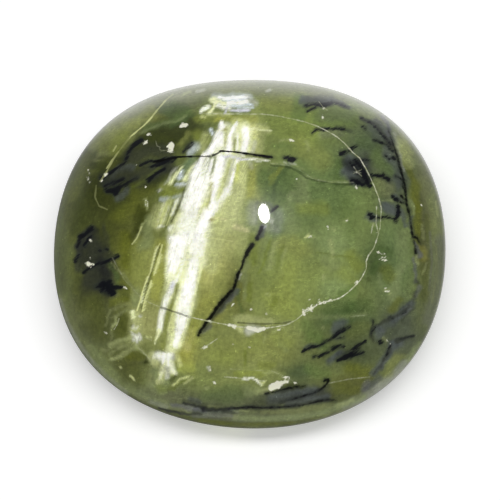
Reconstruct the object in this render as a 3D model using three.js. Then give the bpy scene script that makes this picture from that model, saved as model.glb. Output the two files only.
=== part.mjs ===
// An oval opal cabochon: one polished stone with a high dome, a low rounded belly
// and a flat face to rest on. Units are millimetres and +Z is up. The origin is the
// middle of the resting face, and the stone's long way lies along X.
import * as THREE from "three";

// Driving dimensions
const LENGTH = 17.5;
const WIDTH = 16.6;
const DOME_HEIGHT = 5.34; // from the girdle, the stone's widest line, up to the crown
const BELLY_HEIGHT = 1.7; // from the resting face up to the girdle
const BASE_SHARE = 0.8; // the resting face's outline as a share of the girdle's

// The hand-cut outline is an oval with a few low waves in it. Each wave has its
// number of crests round the stone, and its cosine and sine parts as shares of the radius.
const OUTLINE_WAVES = [
  { crests: 3, cosine: -0.002, sine: 0.008 },
  { crests: 4, cosine: -0.019, sine: 0.006 },
  { crests: 5, cosine: 0, sine: -0.003 },
];

// Fineness of the faceted surface
const STEPS_AROUND = 84;
const STEPS_UP_BELLY = 6;
const STEPS_UP_DOME = 20;

// Colour and finish of the polished stone
const OLIVE_GREEN = 0x7a8050;
const POLISH_ROUGHNESS = 0.12;

// Half the stone's section with a girdle radius of one, from the middle of the
// resting face up over the girdle to the crown. Both ends lie on the turning axis.
function cabochonProfile() {
  const points = [new THREE.Vector2(0, 0)];
  for (let step = 0; step < STEPS_UP_BELLY; step++) {
    const angle = (Math.PI / 2) * (1 - step / STEPS_UP_BELLY);
    const radius = BASE_SHARE + (1 - BASE_SHARE) * Math.cos(angle);
    const height = BELLY_HEIGHT * (1 - Math.sin(angle));
    points.push(new THREE.Vector2(radius, height));
  }
  for (let step = 0; step < STEPS_UP_DOME; step++) {
    const angle = ((Math.PI / 2) * step) / STEPS_UP_DOME;
    const radius = Math.cos(angle);
    const height = BELLY_HEIGHT + DOME_HEIGHT * Math.sin(angle);
    points.push(new THREE.Vector2(radius, height));
  }
  points.push(new THREE.Vector2(0, BELLY_HEIGHT + DOME_HEIGHT));
  return points;
}

// How far the waved outline stands from a plain circle of radius one at an angle.
function outlineRadius(angle) {
  let radius = 1;
  for (const wave of OUTLINE_WAVES) {
    radius += wave.cosine * Math.cos(wave.crests * angle);
    radius += wave.sine * Math.sin(wave.crests * angle);
  }
  return radius;
}

// Gives a round turned shape the waved outline.
function waveOutline(geometry) {
  const position = geometry.getAttribute("position");
  for (let i = 0; i < position.count; i++) {
    const x = position.getX(i);
    const y = position.getY(i);
    const stretch = outlineRadius(Math.atan2(y, x));
    position.setX(i, x * stretch);
    position.setY(i, y * stretch);
  }
}

// Centres a shape on the Z axis and stretches it to the stone's length and width.
function fitToLengthAndWidth(geometry) {
  geometry.computeBoundingBox();
  const size = geometry.boundingBox.getSize(new THREE.Vector3());
  const middle = geometry.boundingBox.getCenter(new THREE.Vector3());
  geometry.translate(-middle.x, -middle.y, 0);
  geometry.scale(LENGTH / size.x, WIDTH / size.y, 1);
}

function makeStoneGeometry() {
  const geometry = new THREE.LatheGeometry(cabochonProfile(), STEPS_AROUND);
  geometry.rotateX(Math.PI / 2); // stands the turning axis up along +Z
  waveOutline(geometry);
  fitToLengthAndWidth(geometry);
  geometry.computeVertexNormals();
  return geometry;
}

function makeStone() {
  const material = new THREE.MeshStandardMaterial({
    color: OLIVE_GREEN,
    roughness: POLISH_ROUGHNESS,
    metalness: 0,
  });
  const stone = new THREE.Mesh(makeStoneGeometry(), material);
  stone.name = "opal_cabochon";
  return stone;
}

const opal = new THREE.Group();
opal.add(makeStone());

export default opal;
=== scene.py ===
import math

import bpy
import numpy as np
from mathutils import Matrix, Vector, noise


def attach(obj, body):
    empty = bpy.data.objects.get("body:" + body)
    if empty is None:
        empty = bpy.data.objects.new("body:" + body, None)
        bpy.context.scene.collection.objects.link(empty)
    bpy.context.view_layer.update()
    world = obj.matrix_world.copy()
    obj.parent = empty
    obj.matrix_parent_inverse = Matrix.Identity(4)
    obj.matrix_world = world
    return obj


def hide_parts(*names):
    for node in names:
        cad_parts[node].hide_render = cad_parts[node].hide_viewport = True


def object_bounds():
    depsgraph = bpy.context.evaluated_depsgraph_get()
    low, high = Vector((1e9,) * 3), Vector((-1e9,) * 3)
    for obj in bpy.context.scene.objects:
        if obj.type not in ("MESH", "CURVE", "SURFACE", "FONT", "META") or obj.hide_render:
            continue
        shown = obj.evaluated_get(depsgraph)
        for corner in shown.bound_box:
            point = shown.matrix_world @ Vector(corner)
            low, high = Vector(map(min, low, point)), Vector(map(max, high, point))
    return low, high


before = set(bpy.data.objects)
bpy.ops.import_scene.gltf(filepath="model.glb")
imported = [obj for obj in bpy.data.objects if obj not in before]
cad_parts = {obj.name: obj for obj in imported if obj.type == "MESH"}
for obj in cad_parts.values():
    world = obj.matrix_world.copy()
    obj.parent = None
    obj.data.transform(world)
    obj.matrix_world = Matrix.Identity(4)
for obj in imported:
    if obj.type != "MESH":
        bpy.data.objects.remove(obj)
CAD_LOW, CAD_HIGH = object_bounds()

# Shape of the stone, as in its solid
LENGTH = CAD_HIGH.x - CAD_LOW.x
WIDTH = CAD_HIGH.y - CAD_LOW.y
HEIGHT = CAD_HIGH.z - CAD_LOW.z
BELLY_HEIGHT = 0.0017
DOME_HEIGHT = HEIGHT - BELLY_HEIGHT
BASE_SHARE = 0.8

# Low waves in the outline: crests round the stone, cosine and sine parts
OUTLINE_WAVES = ((3, -0.002, 0.008), (4, -0.019, 0.006), (5, 0.0, -0.003))

# Fineness of the mesh, and of the steps that find how far the outline reaches
DOME_GRID = 261
BELLY_RINGS = 14
BASE_RINGS = 15
OUTLINE_STEPS = 841

# Camera, with its sensor in millimetres as Blender has it
CAMERA_AZIMUTH = -2.73
CAMERA_ELEVATION = 65.0
CAMERA_DISTANCE = 0.3
PIXELS_PER_METRE = 22420.0
PHOTO_SIDE = 500
GIRDLE_MIDDLE_PIXEL = (250.0, 254.9)
SENSOR_WIDTH = 36.0
CLIP_START = 0.01
CLIP_END = 5.0


def smoothstep(low, high, value):
    """Rises smoothly from 0 at low to 1 at high."""
    share = np.clip((value - low) / (high - low), 0.0, 1.0)
    return share * share * (3.0 - 2.0 * share)


# The camera and the views that the marks are drawn in


class View:
    """A place to look from, which turns points of the stone into photo pixels."""

    def __init__(self, azimuth, elevation, aim):
        turn = math.radians(azimuth)
        rise = math.radians(elevation)
        level = math.cos(rise)
        self.back = Vector((math.sin(turn) * level, -math.cos(turn) * level, math.sin(rise)))
        self.right = Vector((math.cos(turn), math.sin(turn), 0.0))
        self.up = self.back.cross(self.right)
        self.aim = Vector(aim)

    def shift(self, right, up):
        """Moves the aim within the picture, in pixels."""
        self.aim += (self.right * right + self.up * up) / PIXELS_PER_METRE

    @property
    def place(self):
        return self.aim + self.back * CAMERA_DISTANCE

    def matrix(self, distance):
        """Where something stands that looks at the aim from a distance."""
        rows = (self.right, self.up, self.back)
        place = self.aim + self.back * distance
        return Matrix.Translation(place) @ Matrix(rows).transposed().to_4x4()

    def pixels(self, points):
        """The points' photo pixels as columns x and y."""
        offset = points - np.array(self.place)
        depth = -offset @ np.array(self.back)
        scale = PIXELS_PER_METRE * CAMERA_DISTANCE / depth
        x = PHOTO_SIDE / 2 + offset @ np.array(self.right) * scale
        y = PHOTO_SIDE / 2 - offset @ np.array(self.up) * scale
        return x, y

    def facing(self, points, normals):
        """How far each point's surface is turned to the view: 1 straight on, 0 edge on."""
        sight = np.array(self.place) - points
        sight /= np.linalg.norm(sight, axis=1, keepdims=True)
        return np.einsum("ij,ij->i", sight, normals)


def photo_view():
    """The photograph's view, with the girdle's middle where the photograph has it."""
    view = View(CAMERA_AZIMUTH, CAMERA_ELEVATION, (0.0, 0.0, BELLY_HEIGHT))
    right = PHOTO_SIDE / 2 - GIRDLE_MIDDLE_PIXEL[0]
    up = GIRDLE_MIDDLE_PIXEL[1] - PHOTO_SIDE / 2
    view.shift(right, up)
    return view


def make_camera(view):
    data = bpy.data.cameras.new("photo_camera")
    data.sensor_width = SENSOR_WIDTH
    data.lens = SENSOR_WIDTH * CAMERA_DISTANCE * PIXELS_PER_METRE / PHOTO_SIDE
    data.clip_start = CLIP_START
    data.clip_end = CLIP_END
    camera = bpy.data.objects.new("photo_camera", data)
    camera.matrix_world = view.matrix(CAMERA_DISTANCE)
    bpy.context.collection.objects.link(camera)
    bpy.context.scene.camera = camera


# The stone's mesh


def waved_circle(angle):
    """The hand-cut outline before it is stretched to the stone's length and width."""
    radius = np.ones_like(angle)
    for crests, cosine, sine in OUTLINE_WAVES:
        radius += cosine * np.cos(crests * angle) + sine * np.sin(crests * angle)
    return radius * np.cos(angle), radius * np.sin(angle)


def stone_points(share, angle, height):
    """Points of the stone at a share of the outline's radius, an angle and a height."""
    x, y = waved_circle(angle)
    all_x, all_y = waved_circle(np.linspace(0.0, 2.0 * math.pi, OUTLINE_STEPS))
    middle_x = (all_x.max() + all_x.min()) / 2
    middle_y = (all_y.max() + all_y.min()) / 2
    along = (share * x - middle_x) * LENGTH / np.ptp(all_x)
    across = (share * y - middle_y) * WIDTH / np.ptp(all_y)
    return np.column_stack([along, across, height])


def dome_points():
    """A square grid spread evenly over the dome, from the crown out to the girdle."""
    steps = np.linspace(-1.0, 1.0, DOME_GRID)
    u, v = (side.ravel() for side in np.meshgrid(steps, steps))
    sideways = np.abs(u) >= np.abs(v)
    reach = np.where(sideways, u, v)
    slope = np.divide(np.where(sideways, v, u), reach, out=np.zeros_like(u), where=reach != 0.0)
    eighth = math.pi / 4
    angle = np.where(sideways, eighth * slope, 2 * eighth - eighth * slope)
    angle += np.where(reach < 0.0, math.pi, 0.0)
    lean = np.abs(reach) * math.pi / 2
    return stone_points(np.sin(lean), angle, BELLY_HEIGHT + DOME_HEIGHT * np.cos(lean)), angle


def grid_rim():
    """The dome grid's outermost vertices in order round the girdle."""
    last = DOME_GRID - 1
    side = np.arange(last)
    front = side
    right = side * DOME_GRID + last
    back = last * DOME_GRID + last - side
    left = (last - side) * DOME_GRID
    return np.concatenate([front, right, back, left])


def lower_rings(angle):
    """Rings of points down the rounded belly and in over the flat resting face."""
    rings = []
    for step in range(1, BELLY_RINGS + 1):
        dip = math.pi / 2 * step / BELLY_RINGS
        share = BASE_SHARE + (1.0 - BASE_SHARE) * math.cos(dip)
        rings.append((share, BELLY_HEIGHT * (1.0 - math.sin(dip))))
    for step in range(1, BASE_RINGS):
        rings.append((BASE_SHARE * (1.0 - step / BASE_RINGS), 0.0))
    return [stone_points(share, angle, np.full_like(angle, height)) for share, height in rings]


def grid_faces():
    """The dome grid's four-sided faces."""
    corner = np.arange(DOME_GRID - 1)
    column, row = np.meshgrid(corner, corner)
    first = (row * DOME_GRID + column).ravel()
    return np.column_stack([first, first + 1, first + 1 + DOME_GRID, first + DOME_GRID])


def make_stone_mesh():
    """One closed mesh: dome, belly and resting face."""
    dome, dome_angle = dome_points()
    rim = grid_rim()
    rings = lower_rings(dome_angle[rim])
    middle = stone_points(np.zeros(1), np.zeros(1), np.zeros(1))
    vertices = np.vstack([dome, *rings, middle])
    faces = grid_faces().tolist()
    upper = rim
    for number in range(len(rings)):
        lower = len(dome) + number * len(rim) + np.arange(len(rim))
        faces += np.column_stack([lower, np.roll(lower, -1), np.roll(upper, -1), upper]).tolist()
        upper = lower
    centre = len(vertices) - 1
    faces += [[a, centre, b] for a, b in zip(upper.tolist(), np.roll(upper, -1).tolist())]
    mesh = bpy.data.meshes.new("polished_opal")
    mesh.from_pydata(vertices.tolist(), [], faces)
    mesh.shade_smooth()
    return mesh


def read_vectors(values, key):
    """A mesh's points or normals as rows of an array."""
    vectors = np.empty(len(values) * 3, np.float32)
    values.foreach_get(key, vectors)
    return vectors.reshape(-1, 3).astype(float)


# Marks in the stone, drawn in photo pixels. A stroke is its width at the
# start, its width at the end, and the points that it runs through.

BLACK_FERNS = (
    # upper left
    (2.0, 4.4, (126, 158), (128.6, 152), (133, 146)),
    (4.4, 5.0, (133, 146), (137, 142.4), (141, 140.4)),
    (4.0, 2.4, (141, 140.4), (144.4, 142)),
    (3.0, 2.0, (101, 179), (111, 172), (119, 167), (124, 163), (127.6, 157)),
    (2.0, 4.0, (139.7, 165), (149, 161), (160, 162), (166, 160)),
    (5.0, 3.5, (160, 161), (168, 159.5), (174.7, 158)),
    (3.5, 2.5, (152, 166.4), (163, 163.5), (173, 161.5)),
    (3.0, 3.0, (104.6, 186), (114, 183), (124, 179)),
    (4.5, 4.5, (106.6, 190.5), (113, 191), (120.6, 186.4)),
    (3.5, 2.0, (115, 194), (121, 187), (129, 182), (137, 177.4)),
    (4.0, 3.0, (147.4, 181), (152.5, 176.8), (158, 173), (164, 169)),
    (2.0, 3.5, (183, 152), (188, 147), (192, 143.5)),
    # left edge
    (4.0, 5.0, (92, 227.6), (87, 233), (81, 237)),
    (3.0, 2.0, (91, 236), (87, 241), (84, 246)),
    (3.0, 2.0, (80, 240), (77, 248)),
    (3.5, 2.0, (118, 256), (113, 259), (104.6, 262), (95.7, 265), (88, 268.7), (83.6, 272.5)),
    (4.0, 2.0, (75, 261), (79, 255)),
    (2.5, 2.5, (99.5, 250.5), (100.5, 250.5)),
    (2.5, 2.5, (106, 249), (107, 249)),
    (4.0, 7.0, (97, 287), (104, 284), (110, 285)),
    (6.0, 2.2, (108, 286), (115, 288), (123, 287.4)),
    (8.0, 6.4, (108, 288), (112.6, 292.6)),
    (4.4, 3.6, (107, 283.4), (110, 281)),
    (4.0, 2.0, (104, 289), (101, 292)),
    # upper middle
    (2.0, 2.0, (271.7, 157), (270, 156.8)),
    (2.5, 6.0, (284.5, 157.6), (289, 158.6), (291, 159)),
    (6.0, 2.0, (291, 159), (295.5, 158.6)),
    # top right
    (3.4, 2.4, (306, 106), (313.7, 105), (319, 104.6)),
    (2.0, 3.0, (307, 111), (311, 109.5), (315, 107.6)),
    (3.0, 4.6, (319, 104.6), (327, 104.4), (332, 102.8)),
    (2.4, 1.6, (333, 102.4), (341.7, 104.6), (348, 107.6)),
    (1.4, 2.0, (312.4, 132.4), (316, 129.8), (324, 129.8)),
    (1.8, 3.0, (324, 129.4), (331, 128.6), (337, 128)),
    (2.6, 1.0, (337, 128), (344, 129.6), (351, 131.7)),
    (0.8, 1.4, (360, 117.4), (369.5, 122.3), (376.5, 128)),
    (1.4, 1.0, (376.5, 128), (382, 135), (387.7, 141)),
    (1.6, 2.6, (362.5, 126.8), (365, 128.5)),
    (1.0, 1.6, (373.7, 140), (381.4, 142.6), (388.4, 146)),
    (1.4, 2.2, (385, 137), (390, 144)),
    (1.6, 2.0, (389, 148.6), (393, 151)),
    (2.0, 2.0, (393, 157.4), (394.6, 158.6)),
    (1.2, 1.0, (385, 155), (389, 159)),
    # beside the ring on the right
    (4.4, 2.0, (341.4, 153.6), (347, 151.5), (352, 150.4)),
    (3.6, 1.6, (350, 149), (352.6, 147.4), (356.5, 146.4)),
    (1.6, 3.0, (349, 162), (353, 166)),
    (2.4, 6.0, (355, 160.6), (361, 167), (365.6, 178)),
    (3.4, 4.4, (365, 178), (367, 182), (369.4, 186)),
    (3.0, 3.6, (356, 182), (363, 185)),
    (1.6, 0.8, (361, 160), (370, 160.5)),
    (2.0, 3.4, (371, 175), (376, 175.4), (382, 176.3)),
    (3.6, 3.2, (382, 176.3), (386, 177.5), (389, 180.5)),
    (2.5, 1.5, (383, 176), (383.5, 172)),
    (2.6, 3.4, (352, 181), (357, 181.4)),
    # square patch on the right
    (3.0, 4.0, (392.6, 196.3), (397.5, 200.5)),
    (3.0, 4.0, (398.5, 206), (398.2, 213), (395.4, 221)),
    (2.0, 3.0, (378, 217.4), (389, 217.7), (396, 219.5)),
    (3.0, 5.4, (369, 214), (371.6, 217)),
    (4.0, 2.0, (371.6, 217), (375, 217.6)),
    # lower right
    (3.4, 2.2, (303, 351), (311, 347.4), (319.5, 345.8)),
    (2.2, 2.6, (319.5, 345.6), (326.5, 341), (333.5, 338)),
    (3.0, 4.0, (333.5, 336.5), (339, 332), (344.7, 329)),
    (2.4, 1.2, (344.7, 329), (350, 326.7)),
    (1.8, 1.2, (334, 338.6), (344, 337.3)),
    (2.4, 3.2, (314, 357), (321.6, 354.7), (328, 352)),
    (3.6, 2.4, (332, 349), (337.7, 346.4), (344, 346.3)),
    (3.0, 4.6, (337, 360.6), (344, 358), (352, 355)),
    (4.2, 2.4, (352, 355), (357, 354), (363, 352.3)),
    (2.6, 2.4, (354, 349), (359, 345), (365, 341.7)),
    (3.0, 2.0, (346, 355), (353, 351.6), (359, 349)),
    (2.0, 2.4, (371, 334), (372, 331), (375, 328)),
    (1.8, 1.4, (372.6, 320), (373.4, 324)),
    (1.6, 1.6, (391, 317), (392.4, 318)),
    (3.0, 2.6, (379.4, 343), (383, 341)),
    (0.6, 1.4, (390.4, 345), (388, 351), (386, 355.6)),
    (0.8, 0.2, (400, 339.6), (407, 337.6), (414, 335.8)),
    (0.8, 0.6, (406, 311), (402, 314)),
)

# Smooth black veins
BLACK_VEINS = (
    # down from the crown
    (3.6, 3.0, (262, 227), (260, 232), (258.4, 236)),
    (3.2, 3.6, (258, 236), (257, 239)),
    (2.5, 2.0, (277.4, 206.5), (271.7, 211.4)),
    (5.0, 3.0, (252, 245), (248, 251), (244, 259)),
    (2.4, 2.4, (244, 259), (242, 266), (237.7, 275)),
    (3.2, 2.6, (237.7, 275), (236.3, 281), (233.6, 288.8)),
    (2.8, 3.6, (233.6, 288.8), (226, 297), (219.6, 304)),
    (3.4, 3.0, (219.6, 304), (212, 315), (206, 323)),
    (3.4, 2.4, (206, 323), (201.4, 329.4), (198.2, 335)),
    (3.0, 2.0, (198.2, 335), (200, 335.6)),
    # thick end of the crack across the band
    (0.4, 1.8, (236, 152.2), (244, 153.6), (254, 155)),
    (1.8, 2.6, (254, 155), (262, 156.2), (269, 157)),
    # long fissure on the right
    (0.6, 1.4, (388, 129), (391, 137.7), (393, 144)),
    (1.4, 1.8, (393, 144), (396.4, 154), (399, 164)),
    (1.8, 2.6, (399, 164), (401.4, 172), (403.6, 180)),
    (2.6, 2.0, (403.6, 180), (405.4, 190), (406, 199)),
    (2.0, 2.4, (406, 199), (407, 206), (409, 212)),
    (1.4, 1.0, (396, 176), (400, 178), (403, 182)),
    (1.0, 1.8, (409, 213), (410.4, 221.6), (411.6, 230)),
    (1.8, 2.2, (411.6, 230), (412.6, 237)),
    (2.0, 1.6, (412.6, 237), (416.6, 237.4), (420, 243.4)),
    (1.2, 1.8, (413.4, 240.5), (415, 247), (415.8, 253)),
    (1.8, 1.4, (402.4, 185), (403.4, 188)),
    (2.0, 1.2, (401, 195.6), (404.4, 199)),
    (1.6, 1.2, (400, 202), (404, 203.6)),
    # along the bottom
    (3.6, 3.6, (325, 380.5), (328, 380)),
    (1.6, 1.4, (328, 382), (324, 387), (318, 391.4)),
    (1.4, 0.8, (318, 391.4), (306, 395), (291, 400)),
    (0.8, 2.0, (300, 405.6), (280, 407.2), (262, 408), (249, 407)),
    (2.0, 0.6, (249, 407), (240, 407.6), (231.6, 408.4)),
    (0.8, 1.8, (300, 405.6), (312, 403), (321.6, 400.7)),
    (1.4, 0.8, (321.6, 400.7), (329, 399.6), (336, 400)),
    (1.2, 1.4, (264.5, 393.8), (275.8, 391.6), (287.7, 388.4)),
    (2.0, 1.4, (287.7, 388.4), (297, 386.4), (304.5, 386)),
)

# Dark cracks, each with its strength
BLACK_CRACKS = (
    (1.0, (155, 162), (166, 159.6), (178, 157), (192, 156.4)),
    (0.8, (192, 156.4), (203, 156.4), (209, 156.2)),
    (0.9, (213.6, 155), (217, 153.6), (220, 151.8)),
    (1.0, (219, 150.8), (231, 151.5), (244, 153.2), (257.5, 155), (271, 157)),
    (0.35, (185, 187), (183, 196), (180, 204), (176, 213), (171, 222)),
    (0.5, (239, 322.6), (250, 323.6), (262, 324), (281, 323.4), (290, 322)),
    (0.6, (162, 307.7), (175, 312), (189, 316.8)),
    (
        0.35,
        (272, 165.4), (289, 167.2), (300, 172.4), (306, 178.2), (318, 180.8), (336, 184), (351, 184.4),
    ),
    (0.12, (313, 252.4), (325, 253.6), (340, 255.4), (356, 258.6)),
)

# Pale yellow lines, each with its strength. A line close beside another runs the other
# way, so that their offsets have the same sign between them.
GLINTS = (
    (0.35, (101, 180), (107, 171), (114, 158), (119, 151)),
    (0.15, (119, 151), (130, 137)),
    (0.8, (130, 137), (145, 124.4), (152, 117)),
    (0.5, (152, 117), (158, 109), (166, 100)),
    (0.2, (166, 100), (172, 95)),
    (0.5, (107, 168), (113, 159)),
    (0.4, (115.6, 147), (114, 150)),
    (0.65, (159, 245), (155.6, 251), (153, 261), (150.4, 272), (147.2, 279)),
    (1.0, (147.2, 279), (143.6, 288), (140.8, 298.6), (139.4, 303), (137.4, 309.4)),
    (0.65, (154.2, 274), (156, 268), (158, 259), (160.4, 252), (162, 246)),
    (0.8, (142.6, 310), (144.4, 302), (146, 296), (149, 289), (151, 282)),
    (0.5, (141, 228), (137, 238), (133, 243)),
    (0.5, (176, 204), (172, 212), (167, 224)),
    (0.3, (210, 238), (231, 241)),
    (0.16, (96, 187), (95, 197), (99, 206), (106, 209)),
)

# Pale hairlines, each with its strength
HAIRLINES = (
    (
        0.4,
        (201, 113.5), (222, 113.8), (240, 114), (263, 114), (280, 116.4), (293, 119), (304.5, 121.7),
    ),
    (0.75, (304.5, 121.7), (317, 126), (326, 130.4), (337, 136.7), (345, 143.7), (352.6, 152.4)),
    (0.75, (352.6, 152.4), (359.6, 158), (366, 168.6), (371, 179), (375, 188), (378.6, 197.3)),
    (0.6, (378.6, 197.3), (381.4, 208.2), (380, 228), (377.2, 238.4), (373.7, 248.2), (368, 256)),
    (0.45, (378, 232), (376, 223), (376.5, 214.6), (376.5, 208)),
    (0.85, (368, 256), (366.3, 261), (366.3, 268.6), (362.4, 276.3), (358.9, 281.9), (352.6, 288.2)),
    (0.9, (352.6, 288.2), (346.3, 293.8), (340, 298), (334, 300), (321.4, 302.8)),
    (0.7, (321.4, 302.8), (314, 307), (303, 314), (296, 320)),
    (0.8, (296, 320), (286, 325), (268, 328), (240, 327), (226, 324.6), (208, 321), (189, 316.8)),
    (0.25, (162, 307.7), (150, 303), (139.6, 296)),
    (0.12, (139.6, 296), (124, 279), (113, 259)),
    (
        0.12,
        (272, 163.4), (289, 165.5), (300, 170), (313, 179), (327, 181.6), (341, 182.3), (352, 182.3),
    ),
    (0.6, (241, 156), (255, 158), (270, 160.5)),
    (0.25, (330, 383), (350, 379), (368, 377)),
    (0.14, (231.6, 369), (250, 370), (272, 371), (286, 377), (296, 383)),
    (0.4, (226, 377), (241.4, 378.2), (252, 379.5), (263, 381)),
    (0.22, (156, 142), (157, 146), (159.6, 147)),
    (0.22, (159.6, 147), (160, 150.6), (167, 150.4)),
    (0.3, (354.6, 168), (357, 171.6), (360.4, 175)),
    (0.25, (354.6, 173), (360, 170.4)),
    (0.15, (136.6, 345.6), (143, 352), (150, 359.6)),
    (0.5, (118.6, 320), (117.4, 324), (115, 328)),
    (0.35, (146, 338), (150, 339.6)),
    (0.45, (320, 103), (323, 107), (326, 109)),
    (0.35, (372.6, 226), (371.4, 232)),
    (0.15, (352, 316.6), (360, 315.6), (367, 315)),
    (0.5, (202, 348), (208, 345), (216, 339.6)),
)

# White chips and specks in the surface: widths and the points they run through
CHIPS = (
    (3.4, 3.8, (180.6, 125.8), (184, 125)),
    (3.8, 2.8, (184, 125), (186.6, 124.4)),
    (3.0, 6.0, (168, 146), (171.4, 145)),
    (6.4, 3.6, (171.4, 145), (171, 151)),
    (2.4, 1.6, (168.6, 151), (174, 151.4)),
    (3.6, 2.2, (86.8, 263.4), (92.6, 264.2)),
    (1.8, 1.0, (89, 265), (90.4, 267)),
    (1.2, 1.2, (90, 257), (90, 259)),
    (2.6, 2.6, (90, 240), (90.6, 240.8)),
    (1.5, 1.8, (87.7, 169.8), (88, 170.4)),
    (1.2, 1.2, (89, 173.6), (89.2, 174)),
    (2.2, 2.2, (87.4, 178.2), (87.6, 179)),
    (2.0, 2.0, (89.3, 181.6), (89.3, 182.2)),
    (1.8, 2.5, (107, 173), (104.6, 175.6)),
    (1.5, 1.8, (101.8, 179.6), (101.4, 181)),
    (1.2, 1.2, (136, 165.3), (137, 165.3)),
    (1.2, 1.2, (145.8, 186.4), (145.8, 187.2)),
    (1.8, 1.2, (146.2, 201), (146.6, 207)),
    (2.2, 2.2, (148, 134.2), (150.4, 134)),
    (2.4, 2.0, (144, 143.6), (146.6, 141.2)),
    (2.0, 1.4, (124, 287), (126, 288)),
    (1.6, 1.6, (421.8, 205), (422.4, 205)),
    (1.4, 1.4, (380, 251.6), (380.4, 252.4)),
    (1.4, 1.4, (381.4, 257.4), (381.6, 258)),
    (1.6, 1.6, (385, 256.4), (385.4, 256.8)),
    (1.2, 1.2, (378.6, 259.5), (378.8, 259.8)),
    (1.4, 1.0, (377, 252), (379.6, 253)),
    (1.0, 1.0, (386.4, 259.6), (387, 260)),
    (1.2, 1.0, (383, 253.4), (384.4, 254.6)),
    (1.2, 1.0, (384.4, 288.4), (387, 287.6)),
    (1.4, 1.4, (383, 260), (383.2, 260.4)),
    (1.6, 1.2, (385, 291), (390, 291.6)),
    (1.4, 1.4, (356.6, 172), (357, 172.4)),
    (2.6, 2.0, (356, 187), (357, 188)),
    (2.4, 1.8, (290.4, 139.6), (293.6, 140.6)),
    (1.2, 1.2, (297, 179), (297.3, 179.4)),
    (1.8, 1.6, (327, 227), (328.4, 229)),
    (1.2, 1.2, (308, 236), (313, 237)),
    (1.0, 1.0, (345, 222), (348, 220)),
    (1.6, 1.0, (323.5, 107.6), (323.6, 108.6)),
    (1.2, 1.0, (322.8, 116), (322.8, 118)),
    (2.0, 1.6, (203, 348), (207, 346.7)),
    (1.0, 0.8, (232, 345), (234, 344)),
    (0.8, 0.8, (249.4, 347), (250.2, 347.8)),
    (1.4, 1.0, (209.8, 367), (210, 370.6)),
    (1.2, 1.2, (213, 381.6), (216, 383.6)),
    (1.2, 1.2, (280.4, 365.6), (281, 365.8)),
    (5.0, 7.0, (271, 386.5), (277, 385)),
    (6.0, 2.0, (277, 384.6), (288, 381.6)),
    (4.0, 2.0, (271, 389), (279, 387)),
    (1.6, 1.6, (283, 377.4), (289, 377.6)),
    (1.6, 1.6, (294.6, 383.2), (296.4, 383.8)),
    (2.6, 2.6, (355.6, 283.4), (357.6, 281.6)),
    (2.8, 2.0, (303.4, 310), (304, 315.4)),
    (1.8, 2.4, (305, 310), (309, 308.8)),
    (2.2, 1.4, (310.6, 308), (315.4, 305.4)),
    (1.6, 1.4, (309, 311.8), (314, 310)),
    (1.2, 1.0, (311, 305.6), (313, 304.4)),
    (2.6, 2.0, (319.4, 302.8), (323.4, 301.4)),
    (1.4, 1.2, (319, 299.4), (320.4, 300)),
    (1.4, 1.2, (324.4, 303.4), (326, 303)),
    (1.8, 1.6, (327.6, 301), (332, 300.2)),
    (1.2, 1.0, (308, 299.6), (312, 299.4)),
    (2.6, 3.4, (229, 325), (234.6, 326.6)),
    (3.4, 4.0, (248, 327.6), (258, 330.4)),
    (4.0, 1.6, (258, 330.4), (269, 327.6)),
    (1.6, 1.0, (277, 330), (284, 327)),
    (1.4, 1.2, (104.6, 332), (106.6, 333.4)),
    (1.8, 1.8, (251, 309), (251.4, 309.4)),
    (1.6, 1.6, (267, 313.6), (267.2, 314.4)),
    (1.6, 1.6, (209, 321.4), (210.4, 321.8)),
    (1.2, 1.2, (234, 303), (230, 309)),
    (0.6, 0.6, (386, 336), (386.4, 336.6)),
    (0.6, 0.6, (389.4, 343), (389.8, 343.4)),
    (1.0, 1.0, (386.8, 340.6), (388, 341.6)),
)

# The pale band's middle, where its chatoyant sheen is painted in as colour: how far down the
# picture, and how far across. Down to the brushed patch's end the streaks lie level instead.
BRUSHED_SHEEN_END = 115
SHEEN_BAND_MIDDLE = (
    (110, 244), (138, 233), (170, 212), (205, 196),
    (240, 187), (280, 181), (310, 175), (360, 163),
)

# Colours of the strokes as the photograph shows them: red, green and blue up to 255, or
# a little more for what is brighter than white paper
COLOURS = {
    "white": (267, 267, 258),
    "ivory": (248, 251, 230),
    "cream": (234, 240, 184),
    "lime": (206, 216, 104),
    "straw": (212, 218, 150),
    "pale olive": (184, 190, 130),
    "gold": (160, 163, 78),
    "olive": (134, 141, 76),
    "grass": (126, 136, 62),
    "dark olive": (86, 92, 46),
    "moss green": (112, 124, 52),
    "moss": (60, 66, 34),
    "green": (98, 118, 66),
    "teal": (100, 122, 90),
    "mist": (212, 222, 226),
    "lilac": (216, 216, 226),
    "ash": (196, 198, 184),
    "sand": (198, 194, 142),
    "brown": (140, 134, 80),
    # pale grey of the painted reflection along the rim
    "rim grey": (122, 127, 94),
    "mud": (120, 126, 82),
    "stone grey": (104, 108, 92),
    "mist green": (142, 146, 130),
    "wax": (158, 166, 112),
    "bright olive": (142, 152, 80),
    "pale green": (128, 139, 94),
    "ochre green": (98, 104, 42),
    "deep green": (76, 94, 54),
    "slate": (82, 88, 86),
    "violet": (100, 102, 104),
    "charcoal": (58, 61, 50),
    "night": (38, 39, 42),
}
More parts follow.
